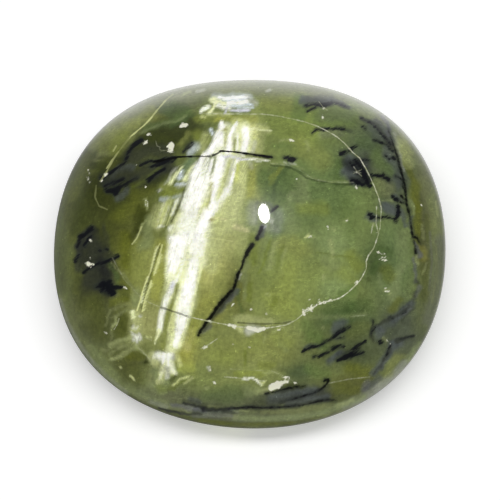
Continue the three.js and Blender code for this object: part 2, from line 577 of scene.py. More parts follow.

# Soft strokes of colour laid over the body one after the other. Each has its colour,
# how much it covers, its width at the start and at the end, and the points it runs through.

# Strokes along the rim, with smooth edges. They paint the studio's reflection along the rim as
# pale colour, and painted shade along the left and bottom edges.
RIM_REFLECTION_AND_SHADE_STROKES = (
    # from the top clockwise
    ("rim grey", 0.8, 12, 12, (180, 92), (215, 86), (250, 84), (285, 85), (318, 90)),
    ("rim grey", 0.8, 12, 10, (318, 92), (345, 100), (368, 110), (384, 121)),
    ("mud", 0.6, 8, 8, (204, 94), (250, 92), (300, 94)),
    ("pale green", 0.8, 10, 9, (352, 104), (372, 114)),
    ("ash", 0.5, 3, 3, (267, 91), (270, 90)),
    ("ash", 0.4, 3, 3, (197, 91.5), (204, 90)),
    ("wax", 0.5, 3, 3, (184, 94), (190, 92)),
    ("rim grey", 0.55, 12, 10, (402, 134), (418, 154), (429, 174)),
    ("rim grey", 0.4, 10, 8, (428, 176), (438, 202), (442, 230), (444, 262)),
    ("mud", 0.45, 10, 9, (424, 180), (431, 210), (434, 240)),
    ("dark olive", 0.5, 5, 5, (427, 216), (429, 240)),
    ("stone grey", 0.6, 12, 12, (440, 240), (440, 266), (436, 292), (428, 320)),
    ("stone grey", 0.6, 2.4, 2.4, (430, 232), (432, 262), (429, 290)),
    ("mud", 0.5, 2.4, 2.4, (436, 246), (437, 272), (432, 302)),
    ("wax", 0.5, 3, 2.4, (436, 202), (438, 216)),
    ("pale green", 0.8, 7, 6, (420, 345), (404, 366), (388, 380)),
    ("mist green", 0.75, 8, 11, (404, 364), (391, 379), (378, 388)),
    ("mist green", 0.6, 10, 7, (378, 388), (362, 397), (344, 406)),
    ("pale green", 0.8, 6, 6, (364, 397), (346, 404), (326, 411)),
    ("wax", 0.5, 4, 4, (352, 400), (338, 406)),
    ("pale green", 0.8, 6, 6, (326, 413), (300, 417), (268, 419), (236, 418)),
    ("rim grey", 0.6, 5, 5, (236, 417), (210, 414), (186, 409), (168, 405)),
    ("pale green", 0.45, 7, 7, (168, 405), (146, 396), (128, 386)),
    ("pale green", 0.35, 8, 8, (128, 386), (112, 374), (100, 360), (90, 348)),
    ("mud", 0.4, 8, 8, (88, 350), (76, 332), (66, 310), (60, 296)),
    ("charcoal", 0.3, 10, 12, (62, 290), (60, 262), (62, 232), (68, 204)),
    ("dark olive", 0.6, 12, 10, (70, 204), (78, 180), (88, 158)),
    ("mud", 0.8, 10, 9, (92, 146), (108, 126), (128, 113)),
    ("rim grey", 0.7, 10, 10, (128, 112), (150, 102), (176, 94)),
    ("mist green", 0.5, 4, 4, (60, 300), (67, 322), (78, 342), (92, 362)),
    ("mist green", 0.4, 5, 4, (92, 362), (108, 378), (126, 392)),
    ("dark olive", 0.9, 4, 4, (130, 396), (140, 402), (150, 407)),
    ("dark olive", 0.9, 4, 5, (148, 406), (172, 415), (200, 421), (230, 425)),
    ("ochre green", 0.7, 5, 5, (200, 421), (240, 425), (290, 424)),
    ("ochre green", 0.5, 4, 4, (290, 424), (330, 416), (360, 405)),
)

# Strokes inside the rim, with edges that smooth noise pushes about
BODY_STROKES = (
    # upper left
    ("mud", 0.7, 14, 14, (104, 132), (120, 124)),
    ("olive", 0.8, 12, 14, (128, 124), (152, 114)),
    ("olive", 0.5, 20, 18, (118, 136), (104, 146)),
    ("ochre green", 0.4, 12, 12, (148, 113), (162, 117)),
    ("mud", 0.5, 6, 6, (96, 154), (110, 152)),
    ("dark olive", 0.3, 10, 10, (102, 146), (114, 150)),
    ("grass", 0.4, 10, 12, (122, 134), (114, 150)),
    ("mud", 0.5, 2, 2, (92, 159), (106, 161)),
    ("dark olive", 0.9, 12, 14, (92, 168), (110, 166)),
    ("moss", 0.8, 7, 8, (92, 165), (106, 166)),
    ("moss", 0.6, 16, 16, (100, 178), (98, 194)),
    ("charcoal", 0.6, 9, 9, (104, 176), (112, 186)),
    ("moss", 0.5, 14, 14, (104, 174), (112, 188)),
    ("dark olive", 0.7, 10, 10, (74, 190), (72, 214), (72, 240)),
    ("moss", 0.6, 12, 12, (78, 206), (76, 230)),
    ("dark olive", 0.6, 12, 12, (74, 262), (78, 290)),
    ("mud", 0.4, 12, 12, (76, 304), (82, 318)),
    ("dark olive", 0.4, 10, 10, (78, 296), (84, 326)),
    ("deep green", 0.7, 12, 16, (168, 109), (184, 111), (182, 121)),
    ("green", 0.5, 8, 8, (146, 128), (166, 124), (190, 114)),
    ("moss", 0.8, 20, 22, (146, 142), (176, 134), (192, 128)),
    ("grass", 0.7, 10, 10, (199, 134), (204, 140)),
    ("olive", 0.6, 5, 6, (178, 146), (186, 139), (190, 134)),
    ("deep green", 0.5, 3, 3, (170, 127), (184, 120), (196, 116)),
    ("pale green", 0.5, 3, 2.4, (142, 132), (160, 125.4), (186, 116.6)),
    ("moss", 0.7, 6, 8, (122, 160), (130, 148), (142, 139), (158, 133)),
    ("charcoal", 0.8, 16, 14, (130, 156), (150, 150), (166, 152)),
    ("dark olive", 0.5, 6, 6, (172, 150), (178, 146)),
    ("charcoal", 0.9, 13, 12, (144, 185), (158, 176), (170, 166)),
    ("moss", 0.5, 12, 12, (148, 186), (162, 178)),
    ("pale olive", 0.4, 8, 8, (186, 170), (192, 160)),
    ("slate", 0.55, 6, 6, (112, 177), (124, 170), (132, 166)),
    ("charcoal", 0.75, 9, 12, (104, 184), (124, 176), (146, 170), (164, 166)),
    ("moss green", 0.3, 3, 3, (134, 188), (148, 176), (160, 168)),
    ("slate", 0.6, 8, 8, (116, 196), (128, 190)),
    ("ochre green", 0.4, 12, 14, (136, 196), (150, 190)),
    ("ochre green", 0.45, 16, 16, (118, 216), (136, 208)),
    ("moss", 0.5, 16, 16, (88, 200), (84, 216)),
    ("wax", 0.75, 3, 3, (146.6, 200), (146.4, 207)),
    ("moss", 0.6, 10, 10, (142, 212), (138, 230)),
    ("mist", 0.3, 8, 6, (194, 148), (189, 153)),
    # left middle
    ("night", 0.85, 11, 9, (90, 230), (84, 240), (78, 248)),
    ("night", 0.7, 7, 8, (80, 250), (84, 260)),
    ("charcoal", 0.95, 18, 22, (90, 240), (98, 254)),
    ("charcoal", 0.95, 26, 28, (96, 260), (102, 276)),
    ("charcoal", 0.8, 14, 14, (88, 280), (104, 288)),
    ("violet", 0.5, 3, 3, (113.4, 290), (114.6, 292)),
    ("deep green", 0.6, 4, 4, (112, 262), (116, 274), (118, 284)),
    ("dark olive", 0.6, 9, 9, (108, 228), (112, 244)),
    ("dark olive", 0.5, 8, 8, (121, 284), (126, 298)),
    ("charcoal", 0.6, 7, 7, (103, 228), (110, 248), (116, 266)),
    ("charcoal", 0.8, 8, 9, (78, 250), (79, 268)),
    ("night", 0.6, 10, 10, (101, 262), (108, 276)),
    ("night", 0.9, 11, 9, (105, 287), (112, 290)),
    ("charcoal", 0.4, 14, 10, (86, 286), (94, 298)),
    ("ochre green", 0.8, 12, 16, (124, 236), (130, 262)),
    ("olive", 0.7, 14, 16, (138, 252), (140, 276)),
    ("pale green", 0.6, 12, 12, (150, 218), (146, 244)),
    ("moss", 0.6, 8, 8, (139, 212), (131, 236)),
    ("pale green", 0.6, 10, 11, (136, 292), (138, 304)),
    ("dark olive", 0.8, 9, 9, (122, 286), (125, 298)),
    ("ochre green", 0.6, 8, 8, (112, 303), (124, 300)),
    ("wax", 0.6, 2, 2.2, (144.4, 219), (139, 232), (135, 240)),
    ("mud", 0.7, 1.8, 1.8, (113, 260), (118, 269), (127, 284), (141, 298)),
    # lower left
    ("mud", 0.6, 3, 3, (110, 311), (120, 309), (131, 307)),
    ("moss", 0.7, 8, 8, (122, 320), (124, 330)),
    ("dark olive", 0.7, 22, 22, (92, 306), (98, 330)),
    ("dark olive", 0.9, 16, 14, (124, 318), (122, 332)),
    ("mud", 0.8, 3, 3.4, (111, 311), (107, 316), (105, 326)),
    ("mud", 0.8, 3, 3, (133, 311.4), (122, 313.4), (112, 318)),
    ("mud", 0.7, 2.6, 2.6, (114, 326), (112, 334), (108, 341)),
    ("wax", 0.7, 2.4, 2.4, (118.4, 315), (117.4, 322), (114, 328)),
    ("wax", 0.8, 2, 2, (117.6, 321), (116, 326)),
    ("pale olive", 0.65, 10, 12, (136, 318), (136, 328)),
    ("pale olive", 0.35, 11, 10, (135, 332), (137, 341)),
    ("mud", 0.7, 14, 12, (135, 336), (138, 337)),
    ("ash", 0.8, 3, 3, (132.6, 332), (133, 339)),
    ("ash", 0.9, 3, 3, (136, 333), (136.4, 342)),
    ("ash", 0.8, 3, 3, (139.6, 333), (139.6, 340)),
    ("ivory", 0.6, 2, 2, (134, 336), (138, 337)),
    ("cream", 0.9, 3, 3, (133.6, 313), (133.6, 314.4)),
    ("cream", 0.9, 3, 3, (133.4, 317.4), (133.6, 319)),
    ("ash", 0.7, 3, 2.4, (140.6, 317.6), (142, 316)),
    ("ash", 0.7, 3, 2.4, (133.6, 324.6), (134.8, 327)),
    ("ash", 0.6, 2.4, 2.4, (137.6, 326.6), (138.4, 326)),
    ("mud", 0.7, 3, 4, (104, 350), (112, 348), (124, 344)),
    ("mud", 0.6, 2.4, 3, (112, 354), (122, 349), (132, 344)),
    ("dark olive", 0.8, 20, 22, (126, 364), (134, 376)),
    ("ochre green", 0.6, 9, 9, (130, 356), (138, 354)),
    ("wax", 0.5, 2, 2, (137, 346), (143, 353), (147, 357)),
    ("moss", 0.9, 4, 4, (143.4, 361), (144.6, 362)),
    ("mud", 0.8, 8, 8, (152, 374), (154, 384)),
    ("pale green", 0.5, 9, 9, (153, 387), (162, 391)),
    ("wax", 0.8, 2.6, 2.6, (147.6, 361), (151, 358.4), (154.6, 361)),
    ("wax", 0.7, 2.6, 2.6, (154.6, 361), (152.4, 366), (147.6, 366)),
    ("straw", 0.6, 2, 2, (146, 338), (150, 339.5)),
    ("moss green", 0.5, 10, 8, (160, 388), (174, 388)),
    # top right
    ("olive", 0.6, 14, 14, (266, 102), (296, 106)),
    ("green", 0.7, 14, 14, (300, 100), (298, 114)),
    ("slate", 0.75, 7, 8, (303, 103), (318, 101), (334, 102)),
    ("slate", 0.7, 4, 3, (322, 98.6), (338, 101), (349, 107)),
    ("slate", 0.8, 8, 7, (306, 99), (330, 98)),
    ("charcoal", 0.7, 3, 3, (310, 105.4), (324, 104), (334, 101.6), (346, 106)),
    ("charcoal", 0.6, 3, 3, (314, 130.4), (330, 127.8), (346, 130)),
    ("green", 0.6, 20, 20, (320, 116), (346, 118)),
    ("stone grey", 0.3, 14, 12, (324, 112), (346, 116)),
    ("pale green", 0.3, 10, 10, (322, 136), (336, 132)),
    ("mud", 0.4, 3, 3, (323, 115), (322.5, 121)),
    ("slate", 0.75, 8, 10, (374, 124), (384, 132), (390, 140)),
    ("slate", 0.5, 8, 8, (370, 128), (382, 140)),
    ("violet", 0.7, 5, 4, (382, 118), (387, 126), (390, 136)),
    ("slate", 0.8, 3, 3, (386, 122), (389, 131)),
    ("charcoal", 0.6, 4, 5, (362, 118), (374, 126), (384, 136), (391, 146)),
    ("charcoal", 0.7, 3, 4, (374, 140), (382, 143), (391, 147)),
    ("deep green", 0.4, 12, 12, (360, 140), (378, 150)),
    ("slate", 0.6, 6, 7, (385, 148), (389, 160)),
    ("green", 0.5, 12, 12, (376, 158), (390, 170)),
    # upper middle and right of the band
    ("straw", 0.45, 8, 6, (258, 128), (268, 130)),
    ("wax", 0.5, 4, 3, (257, 125), (266, 123)),
    ("green", 0.5, 7, 8, (276, 146), (292, 147)),
    ("wax", 0.5, 3, 3, (281, 140), (287, 139)),
    ("olive", 0.5, 22, 22, (300, 146), (318, 160)),
    ("wax", 0.35, 3, 3, (306, 140), (309, 150)),
    ("deep green", 0.75, 4, 3.4, (288, 165), (281, 173), (276, 183), (271, 200)),
    ("green", 0.7, 12, 12, (264, 176), (266, 196)),
    ("grass", 0.5, 4, 4, (277, 168), (270, 182)),
    ("green", 0.5, 7, 7, (296, 174), (290, 190)),
    ("pale green", 0.5, 14, 14, (302, 182), (301, 198)),
    ("pale green", 0.6, 5, 5, (293, 190), (291, 200)),
    ("wax", 0.35, 1.8, 1.8, (270, 162), (288, 164.4), (300, 169), (304, 174)),
    ("wax", 0.3, 1.8, 1.8, (304, 176), (316, 178), (330, 181), (350, 182)),
    ("deep green", 0.6, 2, 2, (272, 164.6), (288, 167), (300, 172), (306, 178)),
    ("deep green", 0.6, 2, 2, (306, 178.6), (318, 180.4), (336, 184), (350, 184.4)),
    ("ash", 0.35, 3, 3, (283, 163), (292, 164)),
    ("deep green", 0.6, 12, 12, (338, 162), (340, 176)),
    ("slate", 0.85, 12, 14, (349, 158), (351, 170)),
    ("slate", 0.85, 12, 10, (348, 172), (357, 182)),
    ("night", 0.7, 10, 9, (345, 161), (352, 168)),
    ("night", 0.9, 9, 9, (357, 164), (361, 172), (365, 182)),
    ("night", 0.85, 7, 7, (353, 181), (366, 184)),
    ("mud", 0.45, 16, 14, (380, 184), (390, 190)),
    ("slate", 0.9, 12, 12, (386, 207), (395, 211)),
    ("pale green", 0.7, 2, 2, (384, 200.6), (396, 200)),
    ("slate", 0.6, 5, 5, (397, 196), (403, 200)),
    ("slate", 0.7, 6, 6, (402, 210), (407, 222)),
    ("slate", 0.75, 8, 8, (371, 215), (374, 221)),
    ("wax", 0.5, 3, 2.4, (371, 225), (373, 228)),
    # fissure side on the right
    ("slate", 0.45, 6, 6, (391, 152), (395, 168), (400, 186)),
    ("slate", 0.6, 3, 3, (412, 214), (412, 232)),
    ("wax", 0.3, 9, 9, (400, 138), (406, 154)),
    ("olive", 0.7, 10, 8, (404, 146), (410, 164)),
    ("ochre green", 0.85, 8, 9, (409, 166), (415, 186), (417, 208)),
    ("ochre green", 0.7, 8, 7, (418, 208), (420, 232), (422, 256)),
    ("brown", 0.3, 6, 6, (423, 246), (423, 258)),
    ("dark olive", 0.5, 8, 8, (424, 262), (424, 300)),
    ("mud", 0.7, 2, 2, (423, 224), (427, 238)),
    ("mud", 0.7, 2.4, 2, (425, 262), (422, 276)),
    ("pale green", 0.6, 3, 3, (411, 200), (414, 212)),
    ("violet", 0.7, 4, 4, (417, 242), (419, 254)),
    ("wax", 0.4, 2, 2, (417, 254), (418, 262)),
    ("violet", 0.6, 4, 4, (414, 258), (413, 270), (414, 281)),
    ("slate", 0.6, 2, 2, (416, 262), (415.4, 272)),
    ("charcoal", 0.7, 4, 3, (414, 281), (417, 284)),
    ("violet", 0.5, 5, 5, (418, 288), (415, 296)),
    ("charcoal", 0.6, 5, 5, (414, 292), (413, 302)),
    ("slate", 0.6, 6, 6, (411, 305), (403, 313), (394, 320)),
    ("charcoal", 0.5, 2.4, 2, (410, 302), (405, 309), (397, 315)),
    ("charcoal", 0.5, 2, 2, (414, 308), (408, 316), (400, 322)),
    ("pale green", 0.45, 12, 12, (402, 232), (402, 262)),
    ("pale green", 0.6, 9, 10, (398, 270), (393, 296)),
    ("green", 0.3, 14, 14, (348, 206), (352, 236)),
    ("deep green", 0.6, 8, 9, (382, 246), (390, 250)),
    ("deep green", 0.7, 7, 6, (378, 262), (373, 272)),
    ("moss", 0.4, 3, 3, (369, 278), (370, 280)),
    ("ochre green", 0.5, 10, 10, (386, 270), (390, 278)),
    ("pale green", 0.4, 6, 5, (379, 274), (382, 286)),
    ("grass", 0.5, 12, 12, (352, 254), (358, 266)),
    ("wax", 0.5, 1.8, 1.8, (384, 291), (385.4, 288), (389, 288.4), (391, 292.6)),
    ("ochre green", 0.55, 9, 9, (399, 300), (394, 309)),
    # middle
    ("grass", 0.5, 14, 14, (304, 208), (324, 210)),
    ("pale green", 0.35, 18, 18, (286, 212), (290, 226)),
    ("olive", 0.6, 18, 18, (280, 244), (300, 250)),
    ("wax", 0.7, 4, 3.4, (306, 236), (309, 234)),
    ("straw", 0.6, 2.4, 2.4, (305, 237), (309, 235)),
    ("wax", 0.6, 2.4, 2.4, (312, 237), (313, 238)),
    ("wax", 0.5, 2, 2, (331, 231), (333, 232)),
    ("wax", 0.6, 6, 5, (331, 240), (334, 245), (334, 251), (332, 256)),
    ("wax", 0.3, 3, 3, (345, 221.6), (350, 219)),
    ("wax", 0.6, 3.6, 3, (323, 275), (326, 276)),
    ("moss green", 0.4, 1.6, 1.6, (313, 253), (326, 254.6), (342, 256), (356, 259)),
    ("pale green", 0.4, 10, 10, (324, 262), (336, 266)),
    ("moss green", 0.6, 3, 3, (268, 240), (264, 258), (260, 272)),
    ("wax", 0.4, 5, 5, (273, 244), (269, 268)),
    ("moss green", 0.4, 3, 3, (280, 246), (277, 268)),
    ("wax", 0.3, 4, 4, (284, 250), (282, 276)),
    ("bright olive", 0.7, 20, 20, (292, 268), (280, 300)),
    ("grass", 0.3, 12, 12, (344, 274), (352, 280)),
    ("bright olive", 0.6, 16, 18, (268, 296), (290, 312)),
    ("moss green", 0.65, 9, 9, (254, 238), (250, 262)),
    ("deep green", 0.55, 5, 4, (238, 290), (239, 302), (242, 311)),
    ("pale green", 0.5, 5, 5, (247, 262), (243, 280)),
    ("ash", 0.6, 2, 2, (242, 272), (240, 277)),
    ("moss green", 0.5, 4, 4, (251, 284), (250, 298)),
    ("pale green", 0.4, 4, 4, (247, 276), (246, 296)),
    ("wax", 0.6, 3, 3, (264, 294), (267, 295)),
    ("moss green", 0.5, 5, 5, (274, 296), (274, 304)),
    ("violet", 0.6, 5, 4, (207, 325), (203, 332)),
    # under the ring
    ("green", 0.5, 14, 14, (306, 326), (318, 334)),
    ("deep green", 0.5, 16, 16, (332, 306), (362, 304)),
    ("deep green", 0.7, 12, 12, (352, 306), (348, 316)),
    ("wax", 0.5, 2.4, 2.4, (325, 327), (326, 327.4)),
    ("slate", 0.8, 9, 9, (344, 323), (338, 331)),
    ("dark olive", 0.35, 14, 14, (352, 332), (364, 328)),
    ("slate", 0.7, 5, 4, (306, 348), (318, 346)),
    ("slate", 0.85, 8, 8, (330, 360), (340, 356)),
    ("night", 0.4, 8, 8, (340, 357), (356, 351)),
    ("slate", 0.7, 9, 9, (377, 331), (381, 336)),
    ("charcoal", 0.7, 2.4, 2.4, (376, 325), (371, 329), (371, 335), (375, 341)),
    ("charcoal", 0.6, 3, 3, (376, 325), (384, 321), (393, 320)),
    ("charcoal", 0.5, 2, 2, (375, 341), (382, 343), (388, 340)),
    ("violet", 0.4, 3, 3, (380, 329), (384, 332)),
    ("charcoal", 0.6, 3, 3, (386, 356), (380, 365), (373, 373)),
    ("wax", 0.5, 3, 3, (386, 340), (388, 342)),
    ("slate", 0.6, 7, 7, (398, 342), (392, 352)),
    ("charcoal", 0.5, 2, 2, (404, 339), (396, 345), (391, 354)),
    ("slate", 0.6, 5, 4, (388, 354), (380, 366), (372, 374)),
    ("olive", 0.5, 10, 10, (398, 358), (388, 374)),
    ("ochre green", 0.7, 14, 14, (352, 368), (364, 372)),
    ("ochre green", 0.6, 14, 14, (336, 390), (356, 390)),
    ("slate", 0.6, 6, 6, (366, 388), (370, 382), (378, 376)),
    ("green", 0.5, 12, 12, (310, 370), (326, 372)),
    ("olive", 0.5, 26, 26, (216, 350), (280, 350)),
    ("bright olive", 0.35, 14, 14, (226, 362), (256, 340)),
    ("moss green", 0.6, 4, 4, (246.6, 350), (247, 366)),
    ("grass", 0.5, 7, 7, (262, 366), (272, 366)),
    ("pale green", 0.5, 8, 8, (282, 342), (286, 348)),
    ("bright olive", 0.5, 14, 14, (278, 338), (290, 342)),
    ("bright olive", 0.5, 12, 12, (216, 354), (226, 358)),
    ("green", 0.6, 14, 12, (310, 338), (322, 343)),
    ("green", 0.7, 9, 9, (343, 294), (354, 289)),
    ("wax", 0.4, 3, 3, (262, 344), (266, 337)),
    ("wax", 0.5, 3, 3, (275, 331), (277, 331.4)),
    ("pale olive", 0.5, 10, 8, (238, 320), (270, 321)),
    ("straw", 0.6, 5, 4, (237, 328), (243, 330)),
    ("pale olive", 0.5, 8, 6, (258, 389), (272, 391)),
    ("ash", 0.7, 7, 6, (250, 329), (258, 330)),
    ("wax", 0.7, 2, 2, (281, 328), (287, 326), (293, 324)),
    ("bright olive", 0.7, 4, 4, (236, 371), (254, 371), (270, 372)),
    ("wax", 0.6, 1.8, 1.8, (262, 371.4), (274, 373.6), (282, 377), (288, 380)),
    ("grass", 0.5, 5, 5, (236, 373), (262, 374)),
    ("ivory", 0.75, 1.6, 2.6, (243, 378), (252, 379), (260, 381)),
    ("straw", 0.6, 2.6, 1.6, (260, 381), (267, 379.4)),
    ("ash", 0.6, 2.4, 2.4, (209.6, 367), (209.8, 372)),
    ("wax", 0.5, 3, 3, (204, 386), (207, 386)),
    ("green", 0.35, 14, 14, (208, 394), (236, 394)),
    ("pale green", 0.5, 10, 10, (246, 390), (258, 389)),
    ("moss", 0.6, 3, 3, (288, 386), (303, 385)),
    # ground of the band under the streaks: the silky layer's own pale colour, with its chatoyant sheen
    # painted over it
    ("straw", 0.9, 14, 22, (238, 126), (236, 150), (228, 170), (216, 190)),
    ("ivory", 0.4, 10, 8, (240, 130), (238, 150), (234, 166)),
    ("ivory", 0.6, 12, 16, (224, 130), (223, 150), (218, 172), (212, 190)),
    ("straw", 0.9, 26, 34, (216, 190), (198, 212), (190, 240)),
    ("ivory", 0.95, 32, 30, (192, 232), (187, 256)),
    ("cream", 0.9, 30, 22, (187, 256), (182, 280), (178, 300)),
    ("cream", 0.8, 20, 12, (184, 300), (178, 330), (173, 348)),
)

# Strokes that smooth noise hardly pushes about
STEADY_STROKES = (
    # dark streaks along the bottom
    ("slate", 0.5, 6, 5, (190, 399), (200, 403)),
    ("charcoal", 0.5, 5, 4, (184, 401.4), (196, 402.6), (206, 405.6)),
    ("mist green", 0.4, 5, 4, (152, 402), (166, 407)),
    ("violet", 0.65, 4, 5, (172, 405), (186, 407), (196, 409)),
    ("violet", 0.65, 5, 1.6, (196, 409), (207, 411.6)),
    ("slate", 0.6, 5, 3, (194, 412), (214, 412.6), (238, 411.4)),
    ("violet", 0.4, 4, 3, (194, 416), (210, 416), (232, 415)),
    ("wax", 0.3, 1.4, 2.4, (234, 411.6), (249, 410.6)),
    ("night", 0.8, 2.4, 3, (159, 407.6), (168, 410.8), (180, 413)),
    ("charcoal", 0.8, 3.6, 2.4, (180, 413), (191, 414.4), (202, 413.4)),
    ("night", 0.8, 2, 3, (183, 403.4), (194, 405), (203, 408.2)),
    ("night", 0.85, 4, 3.6, (203, 409), (216, 409.8), (229, 409)),
    ("charcoal", 0.6, 3, 1.6, (222, 412), (236, 413)),
    ("night", 0.8, 3.4, 3, (229, 408.6), (240, 408), (252, 407)),
    ("slate", 0.75, 11, 8, (272, 399), (292, 395), (314, 389.6)),
    ("slate", 0.7, 7, 5, (288, 403), (310, 398.6), (328, 397)),
    ("charcoal", 0.45, 8, 7, (256, 404), (276, 402), (300, 397)),
    ("charcoal", 0.5, 5, 4, (250, 408.6), (280, 408), (302, 406)),
    ("moss", 0.6, 3, 2.4, (286, 387), (302, 386.4)),
    ("night", 0.5, 3, 3, (262, 407.6), (284, 406.8), (302, 404.4), (321, 400.4)),
    ("night", 0.5, 3, 2.6, (280, 402.6), (296, 398.4), (312, 393.6), (322, 389)),
    ("night", 0.6, 3.4, 3, (318, 400.6), (332, 399.6)),
    ("dark olive", 0.5, 5, 5, (332, 399.6), (346, 398.6)),
    ("night", 0.4, 2.6, 2.6, (266, 394), (282, 391), (300, 387.6)),
    ("mud", 0.5, 5, 5, (262, 412.6), (296, 411), (330, 406)),
    # beside the fissure on the right
    ("slate", 0.6, 8, 7, (412, 304), (404, 312), (392, 320)),
    ("violet", 0.4, 3, 3, (411, 308), (404, 314)),
    ("charcoal", 0.55, 3, 3, (410, 306), (401, 314), (390, 318)),
    ("slate", 0.6, 9, 8, (380, 328), (392, 322)),
    ("charcoal", 0.6, 3.4, 3, (374, 340), (371, 332), (376, 326), (385, 322), (392, 318)),
    ("slate", 0.7, 8, 7, (392, 345), (401, 342)),
    ("charcoal", 0.8, 5, 2.4, (397, 341), (404, 338.4), (414, 335.8)),
    ("slate", 0.7, 7, 6, (391, 346), (386, 357), (378, 367), (372, 374)),
    ("charcoal", 0.7, 4.4, 3, (390, 347), (386.4, 356), (384, 360)),
    ("charcoal", 0.55, 2.2, 1.8, (384, 360), (380, 366.6), (374, 373)),
    ("violet", 0.5, 7, 6, (368, 382), (364, 389)),
    ("moss", 0.2, 8, 8, (409, 164), (411, 176)),
    ("mist green", 0.6, 3, 2, (393.4, 132), (397.4, 145), (401, 159), (403.4, 171)),
    ("wax", 0.3, 5, 4, (397, 138), (402, 153)),
    ("wax", 0.4, 12, 10, (402, 144), (409, 164)),
    # pale cloud under the band
    ("pale green", 0.7, 10, 10, (156, 372), (166, 382)),
    ("ash", 0.95, 9, 10, (156, 357), (170, 357)),
    ("pale olive", 0.8, 8, 7, (152, 356), (156, 363)),
    ("ivory", 0.85, 6, 5, (160, 356), (171, 355)),
    ("ivory", 0.85, 9, 7, (166, 358), (166, 367)),
    ("ash", 0.7, 7, 5, (165, 365), (162, 376)),
    ("straw", 0.7, 8, 5, (166, 366), (161, 377)),
    ("pale olive", 0.85, 4.4, 3, (161, 375), (157.6, 383)),
    ("straw", 0.85, 9, 6, (169, 364), (173.6, 373)),
    ("ivory", 0.5, 7, 5, (168, 362), (172, 371)),
    ("pale olive", 0.6, 9, 6, (165, 370), (160, 380)),
    ("ivory", 0.35, 4, 3, (164, 370), (160, 378)),
    ("ash", 0.6, 6, 5, (167, 368), (167, 377)),
    ("ivory", 0.5, 4, 4, (154, 356.6), (158, 354)),
    ("ivory", 0.4, 5, 4, (172, 365), (175, 373)),
    ("white", 0.6, 3, 2.4, (163, 354), (162, 363)),
    ("white", 0.5, 2.4, 2, (169, 354), (168.6, 366)),
    ("gold", 0.4, 2, 2, (165, 369), (163.6, 378)),
    ("gold", 0.35, 13, 12, (182, 354), (188, 362)),
    ("straw", 0.5, 5, 5, (178, 357), (180, 365)),
    ("lime", 0.3, 8, 8, (182, 369), (192, 368)),
    ("moss", 0.6, 3.4, 3, (171, 380), (175, 376.4)),
    ("straw", 0.75, 2.6, 2.4, (173, 385), (180, 379), (189, 376.6)),
    ("pale olive", 0.7, 2.4, 2.2, (184.6, 383.4), (189, 380.4), (193, 378.4)),
    ("moss green", 0.5, 3, 3, (176, 384.4), (186, 380)),
    # gold beside the end of the band
    ("sand", 0.45, 9, 8, (191, 332), (187, 347)),
    ("olive", 0.4, 9, 8, (186, 370), (192, 374)),
    # wisps at the lower left
    ("wax", 0.55, 4, 4.4, (110, 345.4), (116, 342), (124, 339.4), (132, 337)),
    ("wax", 0.5, 4, 4.4, (112, 359.6), (119, 357), (127, 352), (137, 346)),
    ("wax", 0.3, 2, 2, (118, 347.6), (126, 344.6), (133, 341)),
    ("straw", 0.7, 2, 2, (121, 366.8), (121.6, 367.6)),
    ("straw", 0.7, 2.2, 1.8, (131, 376.4), (134.6, 380)),
    # under the ring
    ("wax", 0.2, 4, 4, (306, 317.6), (330, 317), (350, 316.6), (366, 313.6)),
    # under the long vein
    ("slate", 0.7, 6, 5, (236, 291), (229, 300), (220, 311)),
    ("violet", 0.4, 3, 3, (232, 296), (226, 303)),
    ("charcoal", 0.75, 5, 5, (230, 295), (222, 305), (212, 319)),
    ("charcoal", 0.6, 5, 4, (210, 321), (204, 330)),
    ("charcoal", 0.7, 5, 4, (263, 228), (260, 236)),
    # ferns and their ground
    ("night", 0.45, 12, 12, (104, 176), (112, 186)),
    ("moss", 0.3, 8, 8, (170, 175), (174, 186)),
    ("charcoal", 0.35, 8, 8, (308, 99), (324, 100)),
    ("stone grey", 0.4, 10, 8, (324, 133), (340, 134)),
    # painted highlight halo round the lamp's bright spot, with a darker rim
    ("teal", 0.35, 16, 16, (252, 207), (253, 222)),
    ("teal", 0.5, 18, 16, (276, 217), (275, 229)),
    ("mist green", 0.45, 11, 10, (252.6, 207), (253, 221)),
    ("ash", 0.2, 5, 5, (255, 208), (255, 220)),
    ("mist green", 0.45, 13, 11, (277, 216), (276, 227)),
    ("mist green", 0.3, 7, 7, (267, 228), (275, 229)),
    ("slate", 0.5, 3.4, 3.4, (255.6, 205), (260, 202.4), (266, 202.6)),
    ("slate", 0.55, 5, 4, (269.6, 204), (272.4, 210)),
    ("slate", 0.3, 3, 3, (257, 208), (256.6, 221)),
    ("ash", 0.6, 3.4, 3, (270.6, 219), (271.4, 222)),
    # beside the crown
    ("deep green", 0.6, 3, 2.6, (288, 165), (281, 173), (275, 184), (271, 198)),
    ("grass", 0.4, 3, 3, (283, 166), (276, 175), (271, 184)),
)
